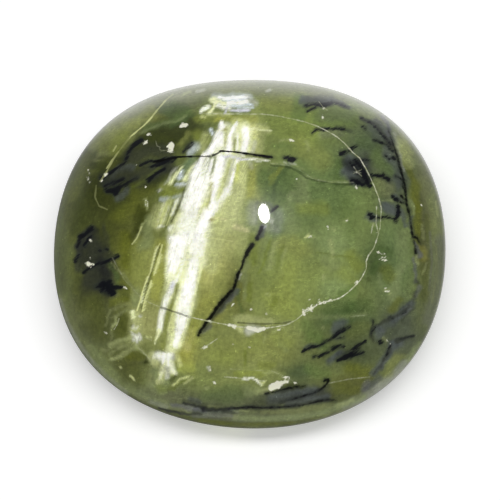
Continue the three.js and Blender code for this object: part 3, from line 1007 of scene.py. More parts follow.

# Strokes in and near the pale band, pushed about along its streaks and broken by gaps. Its
# white and pale strokes paint the band's chatoyant sheen as colour.
SHEEN_BAND_STROKES = (
    # brushed patch above the ring, part of the band's painted sheen
    ("ash", 0.5, 9, 6, (246, 99), (256, 103)),
    ("mist", 0.35, 7, 6, (214, 97), (232, 95.4), (250, 97)),
    ("straw", 0.5, 5, 4, (210, 114.5), (230, 114.5)),
    ("ivory", 0.8, 8, 7, (218, 101), (243, 101)),
    ("mist", 0.9, 6, 6, (221, 99), (244, 98.6)),
    ("white", 0.7, 3, 3, (220, 97.5), (247, 97.5)),
    ("white", 0.85, 5, 4, (217, 104), (247, 102.6)),
    ("mist", 0.85, 4, 2.4, (226, 106.4), (253, 105)),
    ("cream", 0.9, 6, 5, (212, 100), (224, 103)),
    ("ivory", 0.8, 5, 5, (216, 105), (230, 108)),
    ("mist", 0.7, 3, 2, (238, 108.4), (254, 107.8)),
    ("lilac", 0.9, 3, 3, (233, 111), (249, 110.5)),
    ("ivory", 0.95, 4, 4, (202, 111), (205, 108.5), (208, 107)),
    ("olive", 0.7, 2.5, 2, (205, 114), (209, 110), (213, 105)),
    ("cream", 0.95, 3, 3.5, (208.5, 113.5), (213, 108), (217, 103)),
    ("lilac", 0.8, 2.5, 2, (225, 113), (227, 107)),
    ("green", 0.5, 1.5, 1.5, (232, 112.4), (252, 112.8)),
    # greenish strip under the ring line
    ("grass", 0.7, 7, 7, (198, 119), (218, 119)),
    ("gold", 0.5, 7, 6, (218, 118), (256, 119)),
    ("straw", 0.6, 3, 2, (202, 116.5), (206, 117.5)),
    ("straw", 0.5, 2, 2, (236, 119), (242, 119.4)),
    ("gold", 0.6, 3, 3, (214, 120), (222, 119)),
    # top lobes
    ("pale olive", 0.5, 8, 9, (206, 136), (201, 150)),
    ("straw", 0.6, 12, 14, (226, 130), (224, 150)),
    ("white", 0.95, 3, 8, (221, 121.5), (221, 125), (222, 127.5)),
    ("gold", 0.85, 3, 3, (218, 131), (225, 130.5)),
    ("white", 1.0, 9, 11, (219, 135), (218.5, 141), (217, 147)),
    ("white", 0.95, 8, 4, (214, 147), (208, 153), (203, 157)),
    ("mist", 0.95, 4, 4, (211, 130), (212.5, 133)),
    ("cream", 0.6, 5, 5, (220, 148), (217, 151)),
    ("gold", 0.55, 2, 2, (227, 128), (225.8, 140), (225, 150)),
    ("white", 1.0, 2.5, 6, (237.5, 122.5), (234, 128), (230, 136), (229, 145), (228, 151)),
    ("ash", 0.5, 2, 2.5, (236, 126), (234, 138), (233, 148)),
    ("olive", 0.9, 2.2, 3, (235, 139), (234.4, 150)),
    ("ivory", 0.9, 2, 2, (238, 134), (237, 151)),
    ("straw", 0.9, 2, 2, (240.4, 128), (239.6, 151)),
    ("cream", 0.9, 10, 9, (245.5, 126.5), (246, 130)),
    ("white", 1.0, 9, 7, (246, 131), (246.5, 140), (244, 151)),
    ("cream", 0.9, 3, 3, (252, 128), (251, 140), (248.5, 152)),
    ("straw", 0.6, 7, 6, (256, 132), (255, 142), (252, 152)),
    ("cream", 0.7, 2, 1.5, (250, 127), (262, 129.5), (271, 131)),
    ("pale olive", 0.3, 7, 7, (262, 134), (260, 150)),
    ("ash", 0.5, 5, 5, (255, 142), (253, 152)),
    # under the crack, left streaks
    ("teal", 0.8, 8, 7, (192, 160), (185, 168)),
    ("mist", 0.35, 8, 6, (197, 146), (190, 153)),
    ("cream", 0.9, 2.5, 4, (181, 167), (176, 175), (171, 183)),
    ("mist", 0.9, 4, 6, (181, 172), (180, 177)),
    ("cream", 0.95, 2.5, 3.5, (193, 165.5), (188, 173), (184.5, 180)),
    ("ash", 0.7, 4, 4, (179, 187), (183, 185)),
    ("ash", 0.7, 3, 2.5, (159.5, 190), (160.5, 188.5)),
    ("olive", 0.7, 7, 7, (163, 186), (175, 189)),
    ("mist", 0.5, 5, 4, (162, 199), (169, 198)),
    ("ash", 0.4, 2, 2, (175, 194), (183, 193)),
    ("grass", 0.5, 5, 5, (164, 193), (174, 193)),
    ("straw", 0.55, 7, 9, (170, 200), (164, 212), (158, 226)),
    ("pale olive", 0.45, 10, 10, (159, 208), (153, 222)),
    ("pale olive", 0.4, 7, 7, (180, 200), (176, 212), (172, 224)),
    ("ash", 0.5, 2, 2, (164, 202), (161, 212), (157.6, 222)),
    ("ash", 0.4, 2, 2, (169, 203), (166, 213), (163, 222)),
    ("grass", 0.5, 2, 2, (168, 201), (163, 214), (160, 222)),
    ("ivory", 0.8, 3.4, 3, (178, 200), (174.4, 208), (172, 214)),
    ("mist", 0.6, 2.4, 2.4, (173, 196.4), (185, 195.6)),
    ("mist", 0.6, 3, 3, (177, 184), (184, 184)),
    ("ivory", 0.3, 2, 1.8, (176, 168), (170, 178), (166, 184)),
    ("grass", 0.55, 10, 10, (166, 193), (184, 191)),
    # main white streams of the band's painted sheen
    ("white", 1.0, 4, 9, (202, 158), (198, 167), (195, 176)),
    ("white", 1.0, 9, 15, (195, 176), (194, 187), (193, 200)),
    ("ivory", 0.9, 8, 8, (186, 196), (184, 206)),
    ("straw", 0.8, 1.8, 1.5, (205.6, 158), (203, 168), (200.6, 176)),
    ("ivory", 0.95, 3.4, 5, (208.6, 158), (206, 168), (203, 180)),
    ("lilac", 0.5, 2, 2, (199, 160), (196, 168)),
    ("white", 0.9, 3, 4, (212.4, 160), (210, 170), (206, 182)),
    ("moss green", 0.85, 3.2, 1.6, (216, 158), (213.6, 167), (211, 177)),
    ("white", 1.0, 7, 9, (221.5, 158), (218.6, 170), (214, 184)),
    ("white", 1.0, 9, 7, (214, 184), (212, 196), (211, 206)),
    ("white", 0.95, 16, 13, (200, 186), (195, 200), (190, 212)),
    ("ash", 0.4, 3, 3, (226, 158), (223, 172)),
    ("pale olive", 0.8, 3, 3, (229.4, 160), (226.4, 174), (222.6, 190)),
    ("ash", 0.6, 3, 3, (233, 160), (230, 174), (226, 190)),
    ("white", 1.0, 3, 4.4, (238, 160), (235.4, 170), (231.4, 182), (228, 193)),
    ("white", 0.9, 5, 8, (228, 190), (222, 200), (216, 208)),
    ("gold", 0.85, 3.4, 2.6, (211, 184), (209, 196), (205.6, 211)),
    ("gold", 0.7, 2.6, 1.6, (205.6, 211), (201.6, 221), (198.6, 228)),
    ("white", 0.5, 4, 5, (205, 160), (201, 171)),
    # right of the streams
    ("lime", 0.9, 4, 4, (238, 165), (236.6, 182)),
    ("straw", 0.8, 9, 9, (244, 162), (243, 176), (240, 190)),
    ("gold", 0.55, 8, 8, (252, 168), (252, 182), (249, 194)),
    ("ash", 0.3, 6, 5, (250, 161), (252, 168)),
    ("straw", 0.5, 5, 5, (238, 174), (236, 188)),
    ("pale olive", 0.8, 16, 18, (238, 192), (231, 206), (226, 224)),
    ("lilac", 0.9, 2.4, 2, (222, 155.4), (236, 157.4), (252, 160)),
    ("ivory", 0.9, 1.8, 1.4, (250, 159.8), (260, 160.6), (268, 161)),
    # middle of the band
    ("straw", 0.5, 6, 8, (164, 206), (160, 222)),
    ("ivory", 0.5, 3, 2, (158, 227), (163, 226)),
    ("ivory", 0.9, 5, 4, (170, 229), (173, 226)),
    ("dark olive", 0.8, 2.4, 2.2, (184, 190), (180.6, 202), (176.4, 212), (172, 222)),
    ("straw", 0.6, 7, 9, (181, 216), (177, 226)),
    ("ivory", 0.9, 14, 14, (188, 216), (184, 228)),
    ("straw", 0.5, 9, 8, (223, 204), (216, 220)),
    ("white", 1.0, 10, 7, (208, 212), (203, 224), (198, 236)),
    ("lilac", 0.5, 3, 2, (215.6, 208), (212, 216)),
    ("white", 0.95, 15, 15, (182, 238), (178, 248), (176, 258)),
    ("cream", 0.4, 8, 8, (172, 232), (184, 232)),
    ("lilac", 0.4, 6, 5, (186, 233), (180, 237)),
    ("white", 0.8, 9, 9, (196, 238), (194, 252)),
    ("white", 0.9, 9, 9, (173, 239), (171, 256)),
    ("cream", 0.8, 2.6, 2.6, (206.6, 232), (205.6, 246), (203.6, 258)),
    ("white", 0.5, 6, 5, (204, 240), (201, 254)),
    ("white", 0.95, 12, 9, (174, 258), (172.6, 268), (171, 276)),
    ("cream", 0.8, 9, 8, (170, 276), (169, 286)),
    ("cream", 0.8, 2.4, 2.4, (167.6, 244), (166.6, 260), (164.4, 274)),
    ("ash", 0.7, 1.5, 1.5, (179, 258), (191, 259.6)),
    ("straw", 0.7, 2, 3, (182, 259), (179, 269), (176.4, 279)),
    ("ivory", 0.9, 2.4, 3, (183, 261), (179.6, 273), (175.4, 284)),
    ("white", 0.95, 9, 12, (194, 262), (191.6, 276), (188.6, 288)),
    ("white", 0.95, 13, 12, (188.6, 288), (185, 300), (182.6, 312)),
    ("cream", 0.9, 2.4, 2.4, (202, 262), (199.4, 278), (196, 292), (192.4, 304), (189.4, 318)),
    ("cream", 0.5, 3, 3, (184, 280), (180, 292), (176.6, 304)),
    # lower streams
    ("lilac", 0.9, 5, 5, (173, 284), (170, 292)),
    ("ivory", 1.0, 5, 5, (169.4, 292), (166, 300), (163.4, 309)),
    ("olive", 0.9, 2.6, 4.6, (178, 283), (175, 294), (171.4, 306)),
    ("olive", 0.9, 4.6, 5, (171.4, 306), (168, 320), (165.4, 334), (163, 346)),
    ("ivory", 1.0, 5.4, 4, (162.6, 311), (160, 320), (158.6, 330)),
    ("cream", 0.9, 3.4, 1, (158.6, 330), (157, 338), (155.4, 343)),
    ("straw", 0.7, 6, 5, (176, 312), (171, 334)),
    ("straw", 0.8, 3, 3, (175, 306), (172.4, 318), (168.6, 331)),
    ("ivory", 0.9, 12, 11, (183, 312), (182, 322)),
    ("white", 0.95, 8, 6, (182.6, 320), (179.6, 332), (175.6, 345)),
    ("cream", 0.8, 3, 4, (187.6, 320), (184.4, 332), (179.6, 345)),
    ("cream", 0.8, 4, 3, (174, 335), (171, 346)),
    ("ash", 0.5, 1.4, 1.4, (175.6, 329), (184, 330)),
    ("gold", 0.5, 12, 12, (195, 322), (189, 338)),
    ("gold", 0.35, 14, 12, (196, 330), (188, 350)),
    # glints and the dark gap left of the band
    ("gold", 0.6, 12, 12, (162, 244), (158, 268), (156, 296)),
    ("cream", 0.8, 2.2, 2.2, (157, 247), (154, 261), (152, 270)),
    ("cream", 0.9, 2.4, 2.8, (149, 278), (145, 290), (140.6, 302)),
    ("straw", 0.9, 2, 2.2, (160.6, 254), (158, 263), (155, 273)),
    ("straw", 0.9, 2, 2.2, (151, 284), (148, 292), (145, 303), (142.6, 311)),
    ("dark olive", 0.85, 2.2, 2.6, (159.4, 245), (155.2, 262), (152, 272), (148, 284)),
    ("dark olive", 0.85, 2.6, 2.2, (148, 284), (144.2, 297), (141, 309)),
    # right of the band, below
    # pale lilac at the foot of the bright spot, part of its painted highlight halo
    ("lilac", 0.6, 3, 2.6, (263, 225.6), (265, 226.4)),
    ("slate", 0.7, 3, 3, (263.6, 230), (262.6, 237)),
    ("deep green", 0.4, 6, 6, (275, 212), (277, 226)),
    ("charcoal", 0.7, 3.6, 2, (271, 211.4), (277, 206)),
    ("slate", 0.8, 5, 4, (262, 227), (258, 237)),
    ("sand", 0.7, 5, 4, (235, 227), (241, 228.6), (247, 231)),
    ("sand", 0.6, 1.8, 1.6, (211, 219.6), (219, 217), (226, 220)),
    ("brown", 0.8, 3.6, 3, (209.6, 220.4), (211.6, 220.8)),
    ("pale olive", 0.7, 14, 12, (217, 232), (215, 250), (211, 268)),
    ("olive", 0.5, 14, 14, (222, 274), (213, 300), (204, 318)),
)

# Colours of the stone's body as the photograph shows them, as soft dabs laid one over
# the other: place, reach across and up in pixels, and the colour in 0 to 255
BODY_COLOUR = (122, 133, 77)
BODY_DABS = (
    # near the rim
    ((400, 146), (7, 16), (150, 150, 100)),
    ((186, 100), (16, 9), (120, 126, 96)),
    # right half, from the crown outwards
    ((318, 190), (62, 60), (104, 122, 74)),
    ((276, 182), (22, 26), (90, 109, 62)),
    ((300, 298), (54, 44), (132, 144, 80)),
    ((262, 350), (60, 40), (132, 139, 84)),
    ((392, 262), (26, 50), (103, 121, 77)),
    ((374, 262), (14, 20), (82, 96, 60)),
    ((344, 318), (34, 18), (84, 101, 64)),
    ((352, 350), (42, 24), (86, 95, 64)),
    ((400, 330), (26, 34), (84, 91, 72)),
    ((356, 384), (34, 12), (94, 98, 54)),
    ((362, 140), (30, 26), (88, 100, 76)),
    ((396, 176), (18, 36), (80, 88, 72)),
    ((364, 166), (12, 14), (66, 69, 64)),
    ((332, 242), (22, 16), (130, 146, 94)),
    ((334, 288), (18, 14), (130, 146, 92)),
    ((300, 373), (16, 12), (84, 96, 64)),
    ((424, 230), (10, 80), (86, 90, 58)),
    ((290, 128), (50, 22), (126, 140, 72)),
    ((278, 94), (90, 10), (120, 130, 78)),
    # left half
    ((112, 180), (52, 70), (58, 62, 36)),
    ((170, 132), (34, 26), (62, 68, 36)),
    ((134, 212), (28, 20), (74, 80, 40)),
    ((112, 248), (34, 30), (66, 70, 34)),
    ((96, 290), (34, 50), (70, 74, 46)),
    ((116, 120), (26, 26), (112, 118, 74)),
    ((148, 278), (24, 50), (142, 148, 84)),
    ((132, 262), (12, 24), (114, 120, 58)),
    ((146, 322), (22, 22), (152, 155, 98)),
    ((96, 326), (26, 24), (86, 91, 60)),
    ((128, 362), (22, 16), (86, 90, 55)),
    ((157, 374), (8, 15), (147, 151, 101)),
    # beside the band, where the pale dabs carry its painted sheen
    ((230, 204), (18, 24), (196, 203, 150)),
    ((228, 240), (18, 22), (166, 171, 110)),
    ((212, 272), (20, 26), (180, 182, 112)),
    ((210, 306), (16, 18), (140, 142, 74)),
    ((252, 138), (9, 20), (196, 198, 130)),
    ((272, 146), (14, 18), (118, 130, 74)),
    ((250, 200), (12, 26), (150, 158, 92)),
    ((184, 350), (16, 14), (149, 150, 78)),
    ((236, 290), (14, 24), (104, 108, 58)),
    # bottom
    ((240, 400), (110, 12), (94, 101, 70)),
    ((250, 420), (120, 10), (92, 97, 72)),
    ((160, 398), (30, 14), (104, 109, 76)),
    ((310, 394), (40, 10), (70, 74, 62)),
)

# The photograph doesn't show the back wall and the resting face, so their marks are
# drawn freely in the same manner. They are in pixels of the same size, in a view of the
# back wall from behind and in a view of the resting face from below.
HIDDEN_COLOUR = (104, 116, 62)
BACK_DABS = (
    ((400, 300), (70, 60), (60, 66, 38)),
    ((338, 326), (36, 30), (84, 92, 46)),
    ((110, 306), (64, 50), (88, 104, 64)),
    ((190, 330), (34, 22), (126, 138, 74)),
    ((268, 300), (24, 44), (182, 190, 128)),
    ((262, 346), (18, 16), (140, 150, 86)),
    ((250, 362), (170, 10), (76, 84, 46)),
)
BACK_STROKES = (
    ("slate", 0.7, 16, 12, (130, 304), (150, 318), (146, 334)),
    ("charcoal", 0.7, 18, 12, (356, 304), (370, 322), (388, 330)),
    ("deep green", 0.6, 14, 10, (206, 298), (216, 330)),
    ("ochre green", 0.6, 14, 10, (304, 306), (312, 344)),
    # pale streaks that carry the band's painted sheen round the back
    ("ivory", 0.85, 6, 3, (258, 286), (261, 312), (258, 338)),
    ("white", 0.85, 7, 3, (268, 284), (271, 306), (269, 324)),
    ("straw", 0.7, 7, 4, (281, 286), (283, 316), (279, 340)),
    ("lime", 0.5, 3, 2, (264, 290), (266, 330)),
    ("wax", 0.6, 4, 3, (170, 340), (196, 346), (226, 344)),
    ("pale green", 0.5, 9, 7, (84, 318), (110, 338), (150, 352)),
    ("mud", 0.6, 6, 5, (300, 352), (340, 346), (376, 334)),
)
BACK_MARKS = {
    "ferns": (
        (3.0, 4.0, (128, 308), (139, 313), (150, 311)),
        (3.4, 2.0, (150, 311), (160, 306)),
        (2.4, 4.0, (136, 324), (148, 321), (160, 325)),
        (2.0, 1.4, (142, 330), (146, 338)),
        (4.0, 5.0, (346, 308), (358, 304), (366, 311)),
        (5.0, 2.0, (366, 311), (374, 322), (388, 326)),
        (2.4, 3.4, (350, 322), (360, 330), (362, 338)),
        (2.4, 2.0, (388, 306), (398, 313)),
        (2.0, 1.6, (318, 300), (324, 308)),
    ),
    "veins": (
        (3.0, 2.0, (117, 290), (112, 304), (114, 318)),
        (2.0, 1.2, (114, 318), (108, 332), (110, 346)),
        (1.4, 2.2, (228, 350), (262, 353), (300, 349)),
    ),
    "cracks": (
        (0.7, (214, 306), (240, 309), (262, 307), (286, 311)),
        (0.4, (176, 322), (184, 338), (182, 350)),
    ),
    "glints": (
        (0.6, (300, 296), (306, 318), (304, 340)),
        (0.4, (330, 330), (344, 340)),
    ),
    "hairlines": (
        (0.6, (150, 344), (180, 334), (208, 328), (232, 330)),
        (0.4, (318, 318), (336, 314), (352, 296)),
        (0.35, (90, 326), (100, 336), (118, 341)),
        (0.4, (232, 296), (236, 314), (230, 336)),
    ),
    "chips": (
        (2.0, 1.6, (199, 311), (203, 312)),
        (1.6, 1.6, (331, 352), (332, 353)),
        (1.6, 1.4, (164, 336), (165, 337)),
        (2.4, 1.6, (300, 328), (304, 330)),
    ),
}
BASE_DABS = (
    ((196, 226), (74, 60), (84, 92, 50)),
    ((322, 292), (64, 54), (92, 108, 64)),
    ((150, 316), (44, 44), (62, 68, 40)),
    ((262, 176), (44, 26), (140, 147, 92)),
    ((228, 318), (18, 60), (168, 176, 116)),
    ((338, 202), (30, 24), (108, 104, 60)),
)
BASE_STROKES = (
    ("charcoal", 0.7, 40, 30, (130, 296), (164, 322), (176, 346)),
    ("straw", 0.5, 24, 20, (222, 284), (226, 320), (222, 352)),
    ("slate", 0.6, 40, 30, (330, 250), (352, 270), (356, 292)),
    ("deep green", 0.6, 44, 36, (270, 236), (296, 262)),
    ("ochre green", 0.6, 44, 36, (186, 190), (170, 222)),
    ("olive", 0.5, 44, 40, (290, 330), (320, 344)),
)
FRONT_MARKS = {
    "ferns": BLACK_FERNS,
    "veins": BLACK_VEINS,
    "cracks": BLACK_CRACKS,
    "glints": GLINTS,
    "hairlines": HAIRLINES,
    "chips": CHIPS,
}
# Views in which the hidden marks are drawn
BACK_ELEVATION = 12.0
BASE_ELEVATION = -90.0

# How far a surface is turned to a view, from 1 straight on to 0 edge on, where the marks
# drawn in that view start to show and where they show in full
FRONT_SEEN = (0.02, 0.2)
BACK_SEEN = (0.1, 0.4)
BASE_SEEN = (0.7, 0.95)

# The same for the colours drawn in the photograph's view, which reach further round
FRONT_COLOURS_SEEN = (-0.35, 0.12)

# Light
WHITE = (1.0, 1.0, 1.0, 1.0)
FLOOR_ALBEDO = 0.85
FLOOR_GLOW = 0.36
FLOOR_RADIUS = 0.78
FLOOR_SIDES = 96
FLOOR_GAP = 0.00002
SKY_BRIGHTNESS = 0.36
KEY_BRIGHTNESS = 0.47
KEY_HEIGHT = 1.0
KEY_BEHIND = 0.02
KEY_SIZE = (1.7, 0.3)
KEY_EVENNESS = 0.74
SPARK_AZIMUTH = 164.5
SPARK_ELEVATION = 69.0
SPARK_DISTANCE = 0.3
SPARK_SIZE = (0.0195, 0.042)
SPARK_LEAN = 13.0
SPARK_POWER = 0.15

# Glowing spheres round everything
SHELL_SEGMENTS = 48
SHELL_RINGS = 24
BACKDROP_RADIUS = 0.82
ROOM_RADIUS = 0.8

# Brightness in the reflected room. Each pair of places, as shares of the room's radius,
# has the brightness at the first and at the second.
ROOM_BEHIND = (0.3, 0.75, 0.35, 1.0)
ROOM_LOW = (-0.35, 0.1, 1.0, 0.15)
ROOM_LEFT = (0.0, 0.4, 0.25, 1.0)
ROOM_RIGHT = (0.25, 0.6, 1.0, 0.2)
ROOM_LEFT_SLANT = (1.3, 0.8)

# The light that the gloss adds everywhere, and the smallest share of a colour that the
# surface sends back by itself
GLOSS_HAZE = 0.009
LEAST_OWN_LIGHT = 0.2

# How far smooth noise pushes the painted strokes and the size of its waves, in pixels.
# Without a seed the noise would be different each time.
WOBBLE_SEED = 8
WOBBLE = 4.5
WOBBLE_SIZE = 16.0
FINE_WOBBLE = 1.6
FINE_WOBBLE_SIZE = 5.0
STREAK_STRETCH = 6.0

# A painted stroke's soft edge, from solid to gone, in half widths. Its reach is a little
# further, in whole widths. A dab's cover is held at 1 about its middle.
STROKE_EDGE = (0.35, 1.65)
STROKE_REACH = 0.9
DAB_COVER = 1.15

# A distance in pixels that is beyond the reach of any mark, and the shortest length that
# a straight piece of a stroke is taken to have
FAR = 40.0
SHORTEST_PIECE = 1e-6

# The chips' depth in metres, and where their edge starts and ends, in pixels
CHIP_DEPTH = 0.00003
CHIP_EDGE = (-0.8, 0.6)

# Noises in the stone's material: waves a millimetre, detail and roughness. All of them go
# from 0 to 1 about the same middle value.
NOISE_MIDDLE = 0.5
CLOUDS = (0.9, 4.0, 0.6)
GRAIN = (6.0, 4.0, 0.65)
MOSS = (0.42, 6.0, 0.68)
SPECKS = (7.0, 1.0, 0.5)
PATCHES = (0.8, 2.0, 0.5)
RAGGED = (2.2, 4.0, 0.6)
FEATHER = (6.0, 4.0, 0.62)

# Stretched noises: waves along three axes, detail and roughness. The wall's waves are
# those in a millimetre, and the others are those in a pixel of a view.
WALL = ((1.8, 1.8, 0.35), 4.0, 0.65)
GAPS = ((0.75, 0.07, 0.0), 3.0, 0.65)
FIBRES = ((0.35, 0.035, 0.0), 4.0, 0.65)
FILAMENTS = ((1.1, 0.06, 0.0), 2.0, 0.5)
LAYERS = ((0.03, 0.4, 0.0), 3.0, 0.6)
WISPS = ((0.05, 0.16, 0.0), 3.0, 0.6)
BARBS = ((0.09, 0.42, 0.0), 3.0, 0.65)
LAYERS_TURN = -6.0
WISPS_TURN = 12.0
BARBS_TURN = 32.0

# How strongly each noise lightens and darkens the body
CLOUDS_LIGHT = 0.7
GRAIN_LIGHT = 1.0
WALL_LIGHT = 0.7
FIBRES_LIGHT = 0.36
LAYERS_LIGHT = 0.12
SCRATCHES_LIGHT = 0.3
SPECKS_LIGHT = 0.8

# Smooth rises: the values where each starts and ends, and what it gives there if that
# isn't 0 and 1. The filaments' values are pixels from the band's middle, and the others
# are values of noise.
FILAMENTS_RISE = (25.0, 55.0, 0.4, 0.15)
GAPS_RISE = (0.3, 0.5, 0.4, 1.0)
PATCHES_RISE = (0.42, 0.62)
SPECKS_RISE = (0.73, 0.8)
MOSS_RISE = (0.57, 0.64)
GLITTER_RISE = (0.42, 0.66)
SCRATCH_WIDTH = 0.022
MOSS_COVER = 0.9
MOSS_COLOUR = (44, 46, 42)

# Marks with ragged edges: the colour in 0 to 255, how far noise pushes the edge and how
# soft it is, both in pixels, and how much the mark covers
SHADOW_MARK = ((54, 58, 54), 7.0, 2.0, 0.6)
FERN_MARK = ((32, 33, 36), 8.0, 0.9, 0.96)
VEIN_MARK = ((20, 20, 21), 3.6, 0.8, 0.94)
CHIP_MARK = ((234, 234, 212), 5.0, 0.6, 0.95)
SHADOW_MARGIN = 1.0

# Thin lines: half widths in pixels, and colours in 0 to 255
CRACK_HALF_WIDTH = 0.9
GLINT_HALF_WIDTH = 0.7
HAIRLINE_HALF_WIDTH = 0.5
CRACK_COLOUR = (26, 27, 22)
GLINT_COLOUR = (214, 218, 150)
DIM_HAIRLINE_COLOUR = (172, 178, 134)
BRIGHT_HAIRLINE_COLOUR = (238, 238, 220)

# A thin line grows from its thin to its thick share of the half width as the noise goes
# through a range. It fades across its edge and past its end, in pixels.
LINE_NOISE = (0.3, 0.65)
LINE_THIN = 0.5
LINE_THICK = 1.4
LINE_SOFTNESS = 0.35
LINE_END = (1.6, 2.6)

# Grooves along the thin lines
HAIRLINE_GROOVE = -1.0
CRACK_GROOVE = -0.6
GROOVE_STRENGTH = 0.25
GROOVE_DEPTH = 0.00001

# The polish: what is the same all over the stone
POLISH = {
    "Roughness": 0.3,
    "IOR": 1.45,
    "Specular IOR Level": 0.25,
    "Coat Weight": 0.8,
    "Coat Roughness": 0.04,
    "Subsurface Weight": 0.12,
    "Subsurface Radius": (0.5, 0.6, 0.3),
    "Subsurface Scale": 0.001,
}
MILLIMETRES_A_METRE = 1000.0


# Fields that say how far each vertex is from the marks


def line_distance(x, y, start, end):
    """Distance to a straight piece, share of the way along it, and signed offset from it."""
    run_x, run_y = np.subtract(end, start)
    length = max(math.hypot(run_x, run_y), SHORTEST_PIECE)
    from_x, from_y = x - start[0], y - start[1]
    along = np.clip((from_x * run_x + from_y * run_y) / length**2, 0.0, 1.0)
    distance = np.hypot(from_x - along * run_x, from_y - along * run_y)
    offset = (run_x * from_y - run_y * from_x) / length
    return distance, along, offset


def stroke_pieces(x, y, first_width, last_width, points):
    """For each straight piece of a stroke: distance to it, and the stroke's width there."""
    steps = len(points) - 1
    for number in range(steps):
        distance, along, _ = line_distance(x, y, points[number], points[number + 1])
        yield distance, first_width + (last_width - first_width) * (number + along) / steps


def strokes_distance(x, y, strokes):
    """Distance to the edge of the nearest stroke, negative inside it."""
    nearest = np.full_like(x, FAR)
    for first_width, last_width, *points in strokes:
        for distance, width in stroke_pieces(x, y, first_width, last_width, points):
            nearest = np.minimum(nearest, distance - width / 2)
    return nearest


def lines_field(x, y, lines):
    """For thin lines: signed offset from the nearest one, distance to it, and its strength."""
    nearest = np.full_like(x, FAR)
    offset = np.full_like(x, FAR)
    strength = np.zeros_like(x)
    for line_strength, *points in lines:
        for start, end in zip(points, points[1:]):
            distance, _, side = line_distance(x, y, start, end)
            closer = distance < nearest
            nearest[closer] = distance[closer]
            offset[closer] = side[closer]
            strength[closer] = line_strength
    return np.column_stack([offset, nearest, strength])


def band_field(x, y):
    """Each vertex's place across and along the pale band's streaks."""
    middle_rows, middle = np.array(SHEEN_BAND_MIDDLE, float).T
    bend = np.polyfit(middle_rows, middle, deg=3)
    brushed = y < BRUSHED_SHEEN_END
    across = np.where(brushed, y, x - np.polyval(bend, y))
    along = np.where(brushed, x, y)
    return np.column_stack([across, along, np.zeros_like(x)])


def wobble(x, y, size, reach, stretch=1.0):
    """The places pushed about by smooth noise, which gives painted strokes natural edges."""
    places = zip((x / size).tolist(), (y / size / stretch).tolist())
    pushes = np.array([noise.noise_vector((across, down, 0.0)) for across, down in places])
    return x + reach * pushes[:, 0], y + reach * pushes[:, 1]


class Side:
    """One side of the stone: where its points are in a view, and how well the view sees them."""

    def __init__(self, view, points, normals, seen_range):
        self.x, self.y = view.pixels(points)
        self.facing = view.facing(points, normals)
        self.seen = smoothstep(*seen_range, self.facing)


def make_sides(photo, points, normals):
    """The stone from the photograph's view, from behind and from below."""
    middle = (0.0, 0.0, HEIGHT / 2)
    from_behind = View(CAMERA_AZIMUTH + 180.0, BACK_ELEVATION, middle)
    from_below = View(CAMERA_AZIMUTH, BASE_ELEVATION, middle)
    front = Side(photo, points, normals, FRONT_SEEN)
    back = Side(from_behind, points, normals, BACK_SEEN)
    base = Side(from_below, points, normals, BASE_SEEN)
    back.seen *= (1.0 - front.seen) * (1.0 - base.seen)
    return front, back, base


def nearest_stroke(sides, kind):
    """Distance to the nearest stroke of a kind on any side of the stone."""
    nearest = []
    for side, marks in sides:
        nearest.append(strokes_distance(side.x, side.y, marks[kind]) + FAR * (1.0 - side.seen))
    return np.min(nearest, axis=0)


def nearest_line(sides, kind):
    """The thin-line field of whichever side's line is nearest."""
    chosen = None
    for side, marks in sides:
        field = lines_field(side.x, side.y, marks[kind])
        field[:, 1] += FAR * (1.0 - side.seen)
        if chosen is None:
            chosen = field
        else:
            closer = field[:, 1] < chosen[:, 1]
            chosen[closer] = field[closer]
    return chosen


def best_places(front, back):
    """Where each vertex is in the view that sees it better, as a vector for the material."""
    from_behind = back.seen > front.seen
    x = np.where(from_behind, back.x, front.x)
    y = np.where(from_behind, back.y, front.y)
    return np.column_stack([x, y, np.zeros_like(x)])


# Colours in the studio's light


def linear(colour):
    """A 0 to 255 display colour as linear light, by the sRGB curve."""
    share = np.array(colour, float) / 255.0
    return np.where(share <= 0.04045, share / 12.92, ((share + 0.055) / 1.055) ** 2.4)


def light_on(level):
    """How bright the studio is for a surface that faces up (1), sideways (0) or down (-1)."""
    floor = FLOOR_GLOW + FLOOR_ALBEDO * (SKY_BRIGHTNESS + KEY_BRIGHTNESS)
    sky = SKY_BRIGHTNESS * (1.0 + level) / 2 + floor * (1.0 - level) / 2
    return sky + KEY_BRIGHTNESS * np.maximum(level, 0.0)


def without_gloss(light):
    """The light that a surface has to send back by itself, under the gloss on top of it."""
    return np.maximum(light - GLOSS_HAZE, light * LEAST_OWN_LIGHT)


def surface_colour(colour):
    """The surface colour that the studio light shows as this 0 to 255 display colour."""
    return (*(without_gloss(linear(colour)) / light_on(1.0)), 1.0)


def dab(colours, x, y, dabs):
    """Lays very soft round dabs over the vertices' colours."""
    for (dab_x, dab_y), (reach_x, reach_y), colour in dabs:
        share = np.exp(-(((x - dab_x) / reach_x) ** 2) - ((y - dab_y) / reach_y) ** 2)[:, None]
        colours += (linear(colour) - colours) * np.minimum(share * DAB_COVER, 1.0)


def paint(colours, x, y, seen, strokes):
    """Lays soft strokes over the vertices' colours, one after the other."""
    for name, cover, first_width, last_width, *points in strokes:
        reach = STROKE_REACH * max(first_width, last_width)
        columns, rows = zip(*points)
        near = (x > min(columns) - reach) & (x < max(columns) + reach)
        near &= (y > min(rows) - reach) & (y < max(rows) + reach)
        near = np.flatnonzero(near)
        spread = np.full(len(near), FAR)
        for distance, width in stroke_pieces(x[near], y[near], first_width, last_width, points):
            spread = np.minimum(spread, distance / (width / 2))
        share = cover * (1.0 - smoothstep(*STROKE_EDGE, spread)) * seen[near]
        colours[near] += (linear(COLOURS[name]) - colours[near]) * share[:, None]


def drawn_side(side, dabs, strokes):
    """The colours of a side that the photograph doesn't show."""
    colours = np.tile(linear(HIDDEN_COLOUR), (len(side.x), 1))
    dab(colours, side.x, side.y, dabs)
    paint(colours, side.x, side.y, side.seen, strokes)
    return colours


